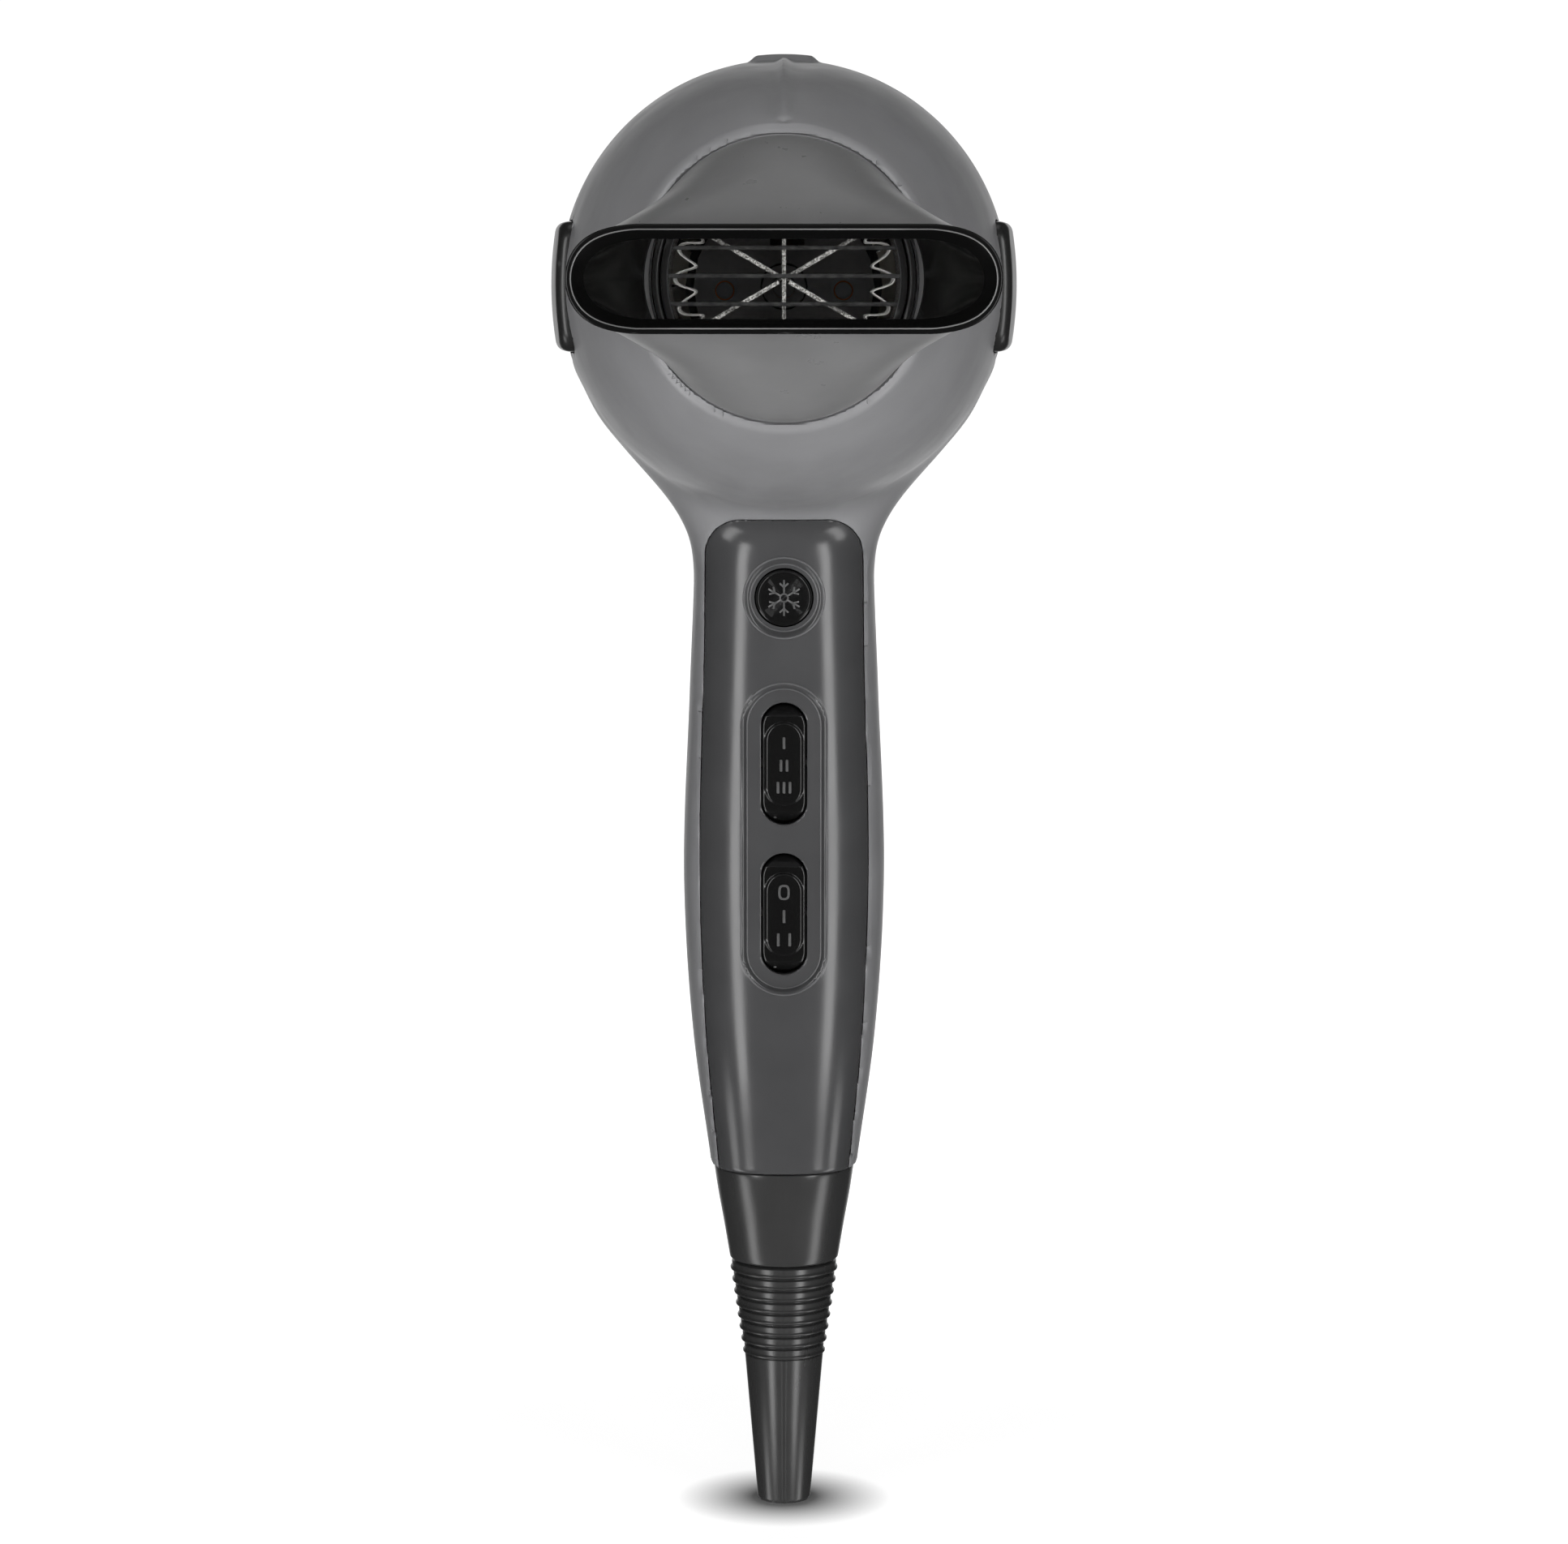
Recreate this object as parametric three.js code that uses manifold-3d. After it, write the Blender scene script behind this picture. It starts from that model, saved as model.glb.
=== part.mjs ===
// A salon hair dryer with a wide concentrator nozzle, two rocker switches and a cool-shot button.
//
// Frame: millimetres, +Z up. The air leaves along -Y, the handle hangs down along -Z and +X is to the
// right of someone who looks into the nozzle. The origin is under the middle of the bounding box, on
// the plane of the cord boot's end face.
//
// Most pieces are laid out in the "body" frame, whose z = 0 is the outlet axis. A "drop" is a distance
// below that axis. Turned pieces are drawn as closed [radius, y] profiles about an axis along Y.

import * as THREE from "three";
import { mergeVertices } from "three/addons/utils/BufferGeometryUtils.js";
import Module from "manifold-3d";

const wasm = await Module();
wasm.setup();

// ---------------------------------------------------------------- driving dimensions

const GAP = 0.3; // between pieces that touch
const WALL = 2.4; // moulded housing wall
const AXIS_HEIGHT = 274; // outlet axis above the boot's end
const HEAD_DROP = 1.6; // the round head's own centre, below the outlet axis

const MOUTH_Y = -103; // front face of the nozzle
const FRONT_Y = -56; // front lip of the head
const WIDE_Y = 15; // where the head reaches its full radius
const TAPER_Y = 45; // where it begins to narrow again
const SPLIT_Y = 62; // main housing ends, rear housing begins
const CAP_Y = 82; // rear housing ends, filter cap begins
const REAR_Y = 103; // rear face of the filter cap

const LIP_R = 30; // head radius at its front lip
const HEAD_R = 48; // full head radius
const CAP_R = 43; // head radius where the filter cap meets it
const DOME_POWER = 2.2; // how quickly the head widens behind its lip

const RECESS_R = 28.7; // recess in which the nozzle's base sits
const WEB_Y = -50; // floor of that recess
const OUTLET_R = 24.8; // bore of the outlet spigot
const SPIGOT_R = 26.1; // outside of the outlet spigot
const SPIGOT_Y = -62.5; // front end of the outlet spigot

const NOZZLE_R = 28.2; // outside of the nozzle's round base
const NOZZLE_WALL = 1.4;
const NOZZLE_BASE_Y = -51; // rear rim of that base
const NOZZLE_LOFT_Y = -61; // where the base starts to flatten
const MOUTH = { halfWidth: 41.3, halfHeight: 10.35, power: 7.7, flat: 0.3 }; // outside of the mouth flange
const FLANGE_Y = MOUTH_Y + 2.6; // rear face of the mouth flange
const FLANGE_PROUD = 0.5; // how far the flange stands out from the grey shell

const HANDLE_Y = 33; // centre plane of the cord boot
const HANDLE_POWER = 2.7; // exponent of the handle's superellipse section
const HANDLE_END = 196; // drop of the handle's lower end
// Each row: drop, half width, front face y, rear face y.
const HANDLE = [
  [24, 42.0, -14, 60],
  [33, 38.2, -8, 61],
  [43.7, 28.9, 1.5, 59.5],
  [52.6, 22.5, 7.2, 57],
  [62, 20.0, 9.2, 55.5],
  [90, 20.8, 9.0, 55.5],
  [134, 22.2, 8.4, 57],
  [167, 20.2, 9.8, 55],
  [HANDLE_END, 16.3, 14, 51],
];

const COVER_SHARE = 0.84; // cover's half width as a share of the handle's
const COVER_TOP = 51.4; // drop of the cover's upper edge
const COVER_CORNER = 8.6;
const COVER_BACK_Y = 25; // the cover's side walls reach back to here
const TRAY = { drop: 121.2, halfWidth: 9.2, halfLength: 34.2, floorY: 10.2 };
const TRAY_BACK_Y = 12.6; // rear face of the tray's floor
const SLOT = { halfWidth: 5.1, halfLength: 13.6 };

const HEAT_DROP = 104.5;
const SPEED_DROP = 137.4;
const ROCKER = { halfWidth: 4.7, halfLength: 12.8, shoulderY: 9.6, padY: 8.7, keelY: 18.4 };
const ROCKER_PAD = { halfWidth: 3.9, halfLength: 9.8 };
const PIVOT_Y = 14.2;
const PIN_R = 1.05;
const PIN_BORE_R = 1.35;

const BUTTON = { drop: 68.4, r: 6.1, faceY: 9.5, flangeR: 7.4, flangeY: 12.9, stemR: 2.4, stemY: 21 };
const DISH = { outerR: 8.8, innerR: 7.5, holeR: 6.45, rimY: 9.1, floorY: 10.4 };

// Cover screws: name, x and drop.
const SCREWS = [
  ["cover_screw_upper_left", -9.4, 81.5],
  ["cover_screw_upper_right", 9.4, 81.5],
  ["cover_screw_lower", 0, 172],
];
const SCREW = { headR: 2.9, shankR: 1.1, pilotR: 1.4, clearR: 1.7, headDepth: 2.2 };
const POST_R = 3.2; // post on the cover that takes the screw
const BOSS_R = 4.2; // boss on the housing that the post meets
const POST_Y = 25.6;
const SEAT_Y = 40; // floor of the screws' counterbores

const PAD = { y: 14, halfLength: 27, halfHeight: 13.6, corner: 5, proud: 1.8, sink: 0.8, curveR: 76 };

const COLLAR_END = 218.4; // drop where the cord collar meets the ribbed boot
const BOOT = { topR: 12.0, ribEndR: 9.2, coneR: 8.8, endR: 5.9, boreR: 3.9, plugR: 9.2, plug: 9 };
const RIBS = 8;
const RIB_PITCH = 2.72;
const RIB_DEPTH = 0.9;

const COIL_Y = [-50, -39, -28]; // planes of the heating coils
const COIL = { innerR: 18.4, outerR: 22.3, teeth: 14, ribbon: 0.8, depth: 1.2 };
const BOARD = { frontY: -54, rearY: -13, halfWidth: 22.7, thick: 0.8 };
const SLEEVE = { innerR: 23.4, outerR: 24.2 };

const CAN = { innerR: 18.2, outerR: 19.4, frontY: 18, rearY: 56 };
const END_PLATE = 3.5; // thickness of the motor's end plates
const SHAFT_R = 2.4;
const FAN = { r: 39.6, hubR: 13, frontY: 63, rearY: 76, blades: 9 };

const FAR = 400; // longer than the whole dryer, for cutting tools
const ROUND = 32; // sides of the large turned pieces
const MEDIUM = 20;
const SMALL = 12;

// ---------------------------------------------------------------- materials

const plastic = (color, roughness) => new THREE.MeshStandardMaterial({ color, roughness, metalness: 0 });
const metal = (color, roughness) => new THREE.MeshStandardMaterial({ color, roughness, metalness: 1 });

const HOUSING = plastic(0x6a6a6c, 0.38);
const DARK_COVER = plastic(0x464648, 0.32);
const GLOSS_BLACK = plastic(0x0b0b0c, 0.18);
const HOT_BLACK = plastic(0x151515, 0.5);
const RUBBER = plastic(0x242424, 0.55);
const SWITCH = plastic(0x2b2b2d, 0.5);
const MICA = plastic(0x9a958c, 0.7);
const STEEL = metal(0xb4b5b8, 0.35);
const WIRE = metal(0xa8a29a, 0.3);
const COPPER = metal(0xb87345, 0.35);
const FAN_WHITE = plastic(0xd8d6cf, 0.45);
const LAMINATE = plastic(0x7a5a2c, 0.6);
const INSULATION = plastic(0x3a4f78, 0.5);

// ---------------------------------------------------------------- solids

/** A closed geometry as a manifold-3d solid with its faces pointing out. */
function solid(geometry) {
  const bare = new THREE.BufferGeometry();
  bare.setAttribute("position", geometry.getAttribute("position"));
  bare.setIndex(geometry.index);
  const merged = mergeVertices(bare, 1e-4);
  const vertProperties = new Float32Array(merged.attributes.position.array);
  const triVerts = new Uint32Array(merged.index.array);
  const made = new wasm.Manifold(new wasm.Mesh({ numProp: 3, vertProperties, triVerts }));
  if (made.volume() > 0) return made;
  for (let i = 0; i < triVerts.length; i += 3) {
    [triVerts[i + 1], triVerts[i + 2]] = [triVerts[i + 2], triVerts[i + 1]];
  }
  return new wasm.Manifold(new wasm.Mesh({ numProp: 3, vertProperties, triVerts }));
}

const asSolid = (piece) => (piece.isBufferGeometry ? solid(piece) : piece);
const join = (...pieces) => pieces.map(asSolid).reduce((all, next) => all.add(next));
const common = (one, other) => asSolid(one).intersect(asSolid(other));

function cut(from, ...tools) {
  return tools.map(asSolid).reduce((left, tool) => left.subtract(tool), asSolid(from));
}

/** Closed rings of points, one after another, as a geometry with flat ends. */
function loft(rings) {
  const count = rings[0].length;
  const last = (rings.length - 1) * count;
  const points = rings.flat();
  const index = [];
  for (let base = 0; base < last; base += count) {
    for (let i = 0; i < count; i++) {
      const a = base + i;
      const b = base + ((i + 1) % count);
      index.push(a, b, a + count, b, b + count, a + count);
    }
  }
  const middle = (ring) => ring.reduce((sum, p) => sum.add(p), new THREE.Vector3()).divideScalar(count);
  points.push(middle(rings[0]), middle(rings.at(-1)));
  for (let i = 0; i < count; i++) {
    const next = (i + 1) % count;
    index.push(next, i, points.length - 2);
    index.push(last + i, last + next, points.length - 1);
  }
  return new THREE.BufferGeometry().setFromPoints(points).setIndex(index);
}

/** A closed [radius, y] profile turned about the Y axis. */
function turned(profile, segments = ROUND) {
  const points = profile.map(([r, y]) => new THREE.Vector2(r, y));
  return new THREE.LatheGeometry([...points, points[0]], segments);
}

function ring(innerR, outerR, y0, y1, segments = ROUND) {
  return turned([[innerR, y0], [outerR, y0], [outerR, y1], [innerR, y1]], segments);
}

/** A cylinder along Y, between y0 and y1. */
function rod(r, y0, y1, segments = SMALL) {
  return new THREE.CylinderGeometry(r, r, y1 - y0, segments).translate(0, (y0 + y1) / 2, 0);
}

/** A cylinder along X, centred on x = 0. */
function crossRod(r, length, y, segments = 12) {
  return new THREE.CylinderGeometry(r, r, length, segments).rotateZ(Math.PI / 2).translate(0, y, 0);
}

/** A box from its low corner to its high corner. */
function block(low, high) {
  const [dx, dy, dz] = high.map((v, i) => v - low[i]);
  const [x, y, z] = high.map((v, i) => (v + low[i]) / 2);
  return new THREE.BoxGeometry(dx, dy, dz).translate(x, y, z);
}

/** A flat outline in X and Z, extruded along Y. */
function prism(shape, y0, y1, curveSegments = 6) {
  const made = new THREE.ExtrudeGeometry(shape, { depth: y1 - y0, bevelEnabled: false, curveSegments });
  return made.rotateX(Math.PI / 2).translate(0, y1, 0);
}

/** A slot outline with round ends, long along Z. */
function stadium(halfWidth, halfLength) {
  const straight = halfLength - halfWidth;
  const shape = new THREE.Shape();
  shape.absarc(0, straight, halfWidth, 0, Math.PI);
  shape.absarc(0, -straight, halfWidth, Math.PI, 2 * Math.PI);
  return shape;
}

/** |u/a|^n + |v/b|^m = 1 as [u, v] points, evenly spaced along each quarter. */
function superellipse(a, b, n, m, perQuarter) {
  const steps = 200;
  const dense = Array.from({ length: steps + 1 }, (_, i) => {
    const turn = (i / steps) * (Math.PI / 2);
    return i === steps ? [0, b] : [a * Math.cos(turn) ** (2 / n), b * Math.sin(turn) ** (2 / m)];
  });
  const run = [0];
  for (let i = 1; i <= steps; i++) {
    run.push(run[i - 1] + Math.hypot(dense[i][0] - dense[i - 1][0], dense[i][1] - dense[i - 1][1]));
  }
  const quarter = Array.from({ length: perQuarter }, (_, k) => {
    const wanted = (k / perQuarter) * run[steps];
    const i = Math.max(1, run.findIndex((length) => length >= wanted));
    const share = (wanted - run[i - 1]) / (run[i] - run[i - 1]);
    return dense[i].map((v, j) => mix(dense[i - 1][j], v, share));
  });
  const returning = [[0, b], ...quarter.slice(1).reverse()];
  return [
    ...quarter,
    ...returning.map(([u, v]) => [-u, v]),
    ...quarter.map(([u, v]) => [-u, -v]),
    ...returning.map(([u, v]) => [u, -v]),
  ];
}

/** Smooth interpolation of one column of a table whose first column rises. */
function along(table, at, column) {
  const last = table.length - 1;
  const next = table.findIndex((row) => row[0] > at);
  const i = next === -1 ? last - 1 : Math.max(0, next - 1);
  const slope = (j) => {
    const [p, q] = [table[Math.max(0, j - 1)], table[Math.min(last, j + 1)]];
    return (q[column] - p[column]) / (q[0] - p[0]);
  };
  const [p, q] = [table[i], table[i + 1]];
  const width = q[0] - p[0];
  const t = (at - p[0]) / width;
  const [t2, t3] = [t * t, t * t * t];
  return (
    (2 * t3 - 3 * t2 + 1) * p[column] +
    (t3 - 2 * t2 + t) * width * slope(i) +
    (3 * t2 - 2 * t3) * q[column] +
    (t3 - t2) * width * slope(i + 1)
  );
}

const mix = (from, to, share) => from + (to - from) * share;
const degrees = THREE.MathUtils.degToRad;

/** Copies of a geometry, turned evenly about the Y axis. */
function around(count, make, start = 0) {
  return Array.from({ length: count }, (_, i) => make().rotateY(start + (i / count) * 2 * Math.PI));
}

// ---------------------------------------------------------------- outer form

/** Radius of the head at y: a dome, a straight belt and a parabolic tail. */
function headRadius(y) {
  if (y >= TAPER_Y) return HEAD_R - (HEAD_R - CAP_R) * ((y - TAPER_Y) / (CAP_Y - TAPER_Y)) ** 2;
  const t = Math.min(1, (y - FRONT_Y) / (WIDE_Y - FRONT_Y));
  return LIP_R + (HEAD_R - LIP_R) * (1 - (1 - t) ** DOME_POWER);
}

/** Height of the head's centre at y: it sinks a little from the outlet to the round belt. */
const headCentre = (y) => -HEAD_DROP * THREE.MathUtils.smoothstep(y, FRONT_Y, WIDE_Y);

/** The head between two stations, inset by a wall. */
function headForm(y0, y1, inset) {
  const stations = [-52, -44, -31, -12, WIDE_Y, TAPER_Y, 57, 70, CAP_Y];
  const between = stations.filter((y) => y > y0 + 1 && y < y1 - 1);
  return loft([y0, ...between, y1].map((y) => {
    const r = headRadius(Math.min(CAP_Y, y)) - inset;
    return Array.from({ length: ROUND }, (_, i) => {
      const turn = (i / ROUND) * 2 * Math.PI;
      return new THREE.Vector3(r * Math.cos(turn), y, headCentre(y) + r * Math.sin(turn));
    });
  }));
}

/** The handle between two drops, inset by a wall. */
function handleForm(drop0, drop1, inset) {
  const drops = [33, 40, 47, 54, 62, 80, 107, 134, 160, 180];
  const between = drops.filter((drop) => drop > drop0 + 1 && drop < drop1 - 1);
  return loft([drop0, ...between, drop1].map((drop) => {
    const at = Math.min(drop, HANDLE_END);
    const [halfWidth, front, rear] = [1, 2, 3].map((column) => along(HANDLE, at, column));
    const halfDepth = (rear - front) / 2 - inset;
    return superellipse(halfWidth - inset, halfDepth, HANDLE_POWER, HANDLE_POWER, 6).map(
      ([x, y]) => new THREE.Vector3(x, (front + rear) / 2 + y, -drop),
    );
  }));
}

/** A low spine on top of the head, narrowing towards the nozzle. */
function topSpine() {
  // Each row: y, half width, height above the head.
  const rows = [[-44, 1.0, 0.2], [-20, 1.8, 0.3], [0, 5.0, 0.45], [WIDE_Y, 7.2, 0.7], [TAPER_Y, 7.2, 0.7]];
  return loft(rows.map(([y, halfWidth, proud]) => {
    const top = headCentre(y) + headRadius(y);
    const outline = [
      [-1, -3], [1, -3], [1, proud - 0.8], [0.8, proud - 0.2],
      [0, proud], [-0.8, proud - 0.2], [-1, proud - 0.8],
    ];
    return outline.map(([share, height]) => new THREE.Vector3(share * halfWidth, y, top + height));
  }));
}

/** Front outline of the handle cover, grown by a margin. */
function coverOutline(margin) {
  const halfWidth = (drop) => along(HANDLE, drop, 1) * COVER_SHARE + margin;
  const cornerDrop = COVER_TOP + COVER_CORNER;
  const side = [HANDLE_END, 180, 160, 134, 100, 75, cornerDrop].map((drop) => [halfWidth(drop), drop]);
  const corner = [1, 2, 3].map((step) => {
    const turn = (step / 3) * (Math.PI / 2);
    const inward = COVER_CORNER * (1 - Math.cos(turn));
    return [halfWidth(cornerDrop) - inward, cornerDrop - (COVER_CORNER + margin) * Math.sin(turn)];
  });
  const right = [[side[0][0], HANDLE_END + 2], ...side, ...corner];
  const left = right.toReversed().map(([x, drop]) => [-x, drop]);
  return new THREE.Shape([...right, ...left].map(([x, drop]) => new THREE.Vector2(x, -drop)));
}

// ---------------------------------------------------------------- casings

const shell = cut(
  join(headForm(FRONT_Y, CAP_Y, 0), handleForm(24, HANDLE_END, 0), topSpine()),
  headForm(WEB_Y + 2, CAP_Y + 5, WALL),
  handleForm(26, HANDLE_END + 5, WALL),
);

/** The same piece at each of the cover screws. */
const atScrews = (make) => SCREWS.map(([, x, drop]) => make().translate(x, 0, -drop));

/** Posts and bosses stop short of the handle's outer skin. */
const screwSpace = solid(handleForm(26, HANDLE_END, WALL / 2));

function mainHousing() {
  const casing = cut(
    shell,
    rod(RECESS_R, FRONT_Y - 5, WEB_Y, ROUND),
    block([-FAR, SPLIT_Y, -FAR], [FAR, FAR, FAR]),
    prism(coverOutline(GAP), -FAR, COVER_BACK_Y),
  );
  const spigot = ring(OUTLET_R, SPIGOT_R, SPIGOT_Y, WEB_Y + 2);
  const bosses = common(join(...atScrews(() => rod(BOSS_R, POST_Y, FAR))), screwSpace);
  return cut(
    join(casing, spigot, bosses),
    rod(OUTLET_R, -FAR, 0, ROUND),
    ...atScrews(() => rod(SCREW.headR + GAP, SEAT_Y, FAR)),
    ...atScrews(() => rod(SCREW.clearR, 0, FAR, 12)),
    ...[-1, 1].map((side) => sidePad(side, PAD.sink + GAP, GAP, -HEAD_DROP)),
  );
}

function rearHousing() {
  return common(shell, block([-FAR, SPLIT_Y + GAP, -FAR], [FAR, CAP_Y, FAR]));
}

/** A pad on the head's flank: rounded in side view, with a flatter outer face than the head's. */
function sidePad(side, sink, margin, z) {
  const { halfLength, halfHeight, corner, proud, curveR } = PAD;
  const [u, v] = [halfLength + margin, halfHeight + margin];
  const outline = new THREE.Shape();
  outline.absarc(u - corner, v - corner, corner, 0, Math.PI / 2);
  outline.absarc(corner - u, v - corner, corner, Math.PI / 2, Math.PI);
  outline.absarc(corner - u, corner - v, corner, Math.PI, 1.5 * Math.PI);
  outline.absarc(u - corner, corner - v, corner, 1.5 * Math.PI, 2 * Math.PI);
  const slab = prism(outline, 20, 60, 3).rotateZ((-side * Math.PI) / 2).translate(0, PAD.y, z);
  const skin = loft([-30, -14, 0, WIDE_Y, TAPER_Y].map((y) => {
    const crown = headRadius(y) + proud;
    const face = [-20, -12, -6, 0, 6, 12, 20].map((height) => [crown - height ** 2 / (2 * curveR), height]);
    return [...face, [crown - 12, 20], [crown - 12, -20]].map(
      ([x, height]) => new THREE.Vector3(side * x, y, z + height),
    );
  }));
  return cut(common(slab, skin), headForm(-40, 60, sink).translate(0, 0, z + HEAD_DROP));
}

function handleCover() {
  const { drop, halfWidth, halfLength, floorY } = TRAY;
  const tray = stadium(halfWidth, halfLength);
  const floor = stadium(halfWidth + 1.2, halfLength + 1.2);
  const slots = [HEAT_DROP, SPEED_DROP].map((at) =>
    prism(stadium(SLOT.halfWidth, SLOT.halfLength), -FAR, FAR / 8).translate(0, 0, -at),
  );
  const { outerR, innerR, holeR, rimY } = DISH;
  const dish = [
    [0, 0], [outerR, 0], [outerR, rimY], [innerR, DISH.floorY - GAP],
    [holeR, DISH.floorY], [holeR, 30], [0, 30],
  ];
  return cut(
    join(
      common(shell, prism(coverOutline(0), -FAR, COVER_BACK_Y - 1)),
      prism(floor, floorY - 0.4, TRAY_BACK_Y).translate(0, 0, -drop),
      common(join(...atScrews(() => rod(POST_R, 0, POST_Y - GAP))), screwSpace),
    ),
    prism(tray, -FAR, floorY).translate(0, 0, -drop),
    turned(dish, MEDIUM).translate(0, 0, -BUTTON.drop),
    ...slots,
    ...atScrews(() => rod(SCREW.pilotR, 15, FAR, 12)),
  );
}

// ---------------------------------------------------------------- nozzle

/** The nozzle's outline at y, inset by a wall: round at the base, wide and flat at the mouth. */
function nozzleRing(y, inset) {
  const share = THREE.MathUtils.clamp((NOZZLE_LOFT_Y - y) / (NOZZLE_LOFT_Y - FLANGE_Y), 0, 1);
  const flattening = mix(share, THREE.MathUtils.smoothstep(share, 0, 1), 0.25);
  const halfWidth = mix(NOZZLE_R, MOUTH.halfWidth - FLANGE_PROUD, share ** 1.25) - inset;
  const halfHeight = mix(NOZZLE_R, MOUTH.halfHeight - FLANGE_PROUD, flattening) - inset;
  const power = mix(2, MOUTH.power, share ** 3);
  const outline = superellipse(halfWidth, halfHeight + MOUTH.flat * share, power, 2, 8);
  // Long edges of the mouth are cut straight.
  return outline.map(([x, z]) => new THREE.Vector3(x, y, THREE.MathUtils.clamp(z, -halfHeight, halfHeight)));
}

function nozzleLoft(y0, y1, inset) {
  const between = [-69, -76, -83, -90, -96].filter((y) => y < y0 - 1 && y > y1 + 1);
  return loft([y0, ...between, y1].map((y) => nozzleRing(y, inset)));
}

function nozzleShell() {
  return cut(
    join(nozzleLoft(NOZZLE_LOFT_Y, FLANGE_Y, 0), rod(NOZZLE_R, NOZZLE_LOFT_Y, NOZZLE_BASE_Y, ROUND)),
    nozzleLoft(NOZZLE_LOFT_Y, FLANGE_Y - 1, NOZZLE_WALL),
    rod(NOZZLE_R - 0.9, NOZZLE_LOFT_Y, 0, ROUND),
  );
}

function nozzleDuct() {
  const [start, outerInset] = [-69, NOZZLE_WALL + GAP];
  const flange = loft([MOUTH_Y, FLANGE_Y - GAP].map((y) => nozzleRing(y, -FLANGE_PROUD)));
  const outer = nozzleLoft(start, FLANGE_Y - 0.6, outerInset);
  return cut(join(outer, flange), nozzleLoft(start + 1, MOUTH_Y - 1, outerInset + 0.9));
}

/** Push-fit ring inside the nozzle's base, on which the nozzle turns. */
function nozzleCollar() {
  return ring(SPIGOT_R + 0.25, NOZZLE_R - 1.2, NOZZLE_LOFT_Y + GAP, NOZZLE_BASE_Y - 0.2);
}

// ---------------------------------------------------------------- outlet and heater

function outletGrille() {
  const [front, rear] = [SPIGOT_Y + 1, SPIGOT_Y + 3.4];
  const [pitch, halfThick, lift] = [5.55, 0.45, 0.6];
  const slats = [-3, -2, -1, 0, 1, 2, 3].map((k) => {
    const z = lift + k * pitch;
    return block([-FAR, front + GAP, z - halfThick], [FAR, rear - GAP, z + halfThick]);
  });
  return join(
    ring(22.9, OUTLET_R - GAP, front, rear),
    common(join(...slats), rod(23.6, -FAR, FAR, ROUND)),
  );
}

/** One of three boards that cross on the outlet axis: each is whole only along its own third. */
function micaBoard(third) {
  const { frontY, rearY, halfWidth, thick } = BOARD;
  const length = (rearY - frontY) / 3;
  const relief = [0, 1, 2]
    .filter((k) => k !== third)
    .map((k) => block([-1.2, frontY + k * length - 0.2, -2], [1.2, frontY + (k + 1) * length + 0.2, 2]));
  const notches = COIL_Y.map((y) => ring(COIL.innerR - 0.8, COIL.outerR + 0.8, y - 1.1, y + 1.1, MEDIUM));
  return cut(block([-halfWidth, frontY, -thick / 2], [halfWidth, rearY, thick / 2]), ...relief, ...notches);
}

/** Zigzag ribbon of heating wire bent into a ring. */
function heaterCoil() {
  const { innerR, outerR, teeth, ribbon, depth } = COIL;
  const zigzag = (offset) =>
    Array.from({ length: 2 * teeth }, (_, i) => {
      const r = (i % 2 ? outerR : innerR) + offset;
      const turn = (i / teeth) * Math.PI;
      return new THREE.Vector2(r * Math.cos(turn), r * Math.sin(turn));
    });
  const shape = new THREE.Shape(zigzag(ribbon / 2));
  shape.holes.push(new THREE.Path(zigzag(-ribbon / 2)));
  return prism(shape, -depth / 2, depth / 2);
}

/** Thin funnel that carries the air from the fan's chamber into the heater. */
function airFunnel() {
  // Each row: y, radius, height of the centre.
  const rows = [[20, 44.8, -1.6], [8, 42.6, -1.4], [-2, 36, -0.8], [-9, 29, 0], [-13.5, 26, 0], [-22, 26, 0]];
  const form = (inset, extra) =>
    loft(rows.map(([y, r, z], k) => {
      const reach = extra * ((k === 0) - (k === rows.length - 1));
      return Array.from({ length: MEDIUM }, (_, i) => {
        const turn = (i / MEDIUM) * 2 * Math.PI;
        return new THREE.Vector3((r - inset) * Math.cos(turn), y + reach, z + (r - inset) * Math.sin(turn));
      });
    }));
  return cut(form(0, 0), form(1.2, 1));
}

// ---------------------------------------------------------------- motor and fan

function motorMount() {
  const [frontY, rearY] = [23, 54];
  const vane = () => block([20.5, frontY + 4, -0.8], [43.8, rearY - 4, 0.8]);
  return join(
    ring(43.2, 44.8, frontY, rearY),
    ring(CAN.outerR + GAP, 21.4, frontY, rearY, MEDIUM),
    ...around(8, vane, Math.PI / 8),
  );
}

const MOTOR_SCREW_X = 12.5;

/** End plate of the motor: a bore for the bearing, two screw holes and two air windows. */
function motorEnd() {
  const hole = () => rod(1.5, -1, END_PLATE + 1, 8).translate(MOTOR_SCREW_X, 0, 0);
  const window = () => block([-3, -1, 8], [3, END_PLATE + 1, 14]);
  return cut(ring(5.1, CAN.outerR, 0, END_PLATE, MEDIUM), ...around(2, hole), ...around(2, window));
}

/** Slotted pan-head screw along +Y, its head's underside at y = 0. */
function motorScrew() {
  const slot = block([-1.6, -3, -0.3], [1.6, -1.2, 0.3]);
  return cut(join(rod(2.3, -1.8, 0, 12), rod(1.2, -0.5, 3, 8)), slot);
}

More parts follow.
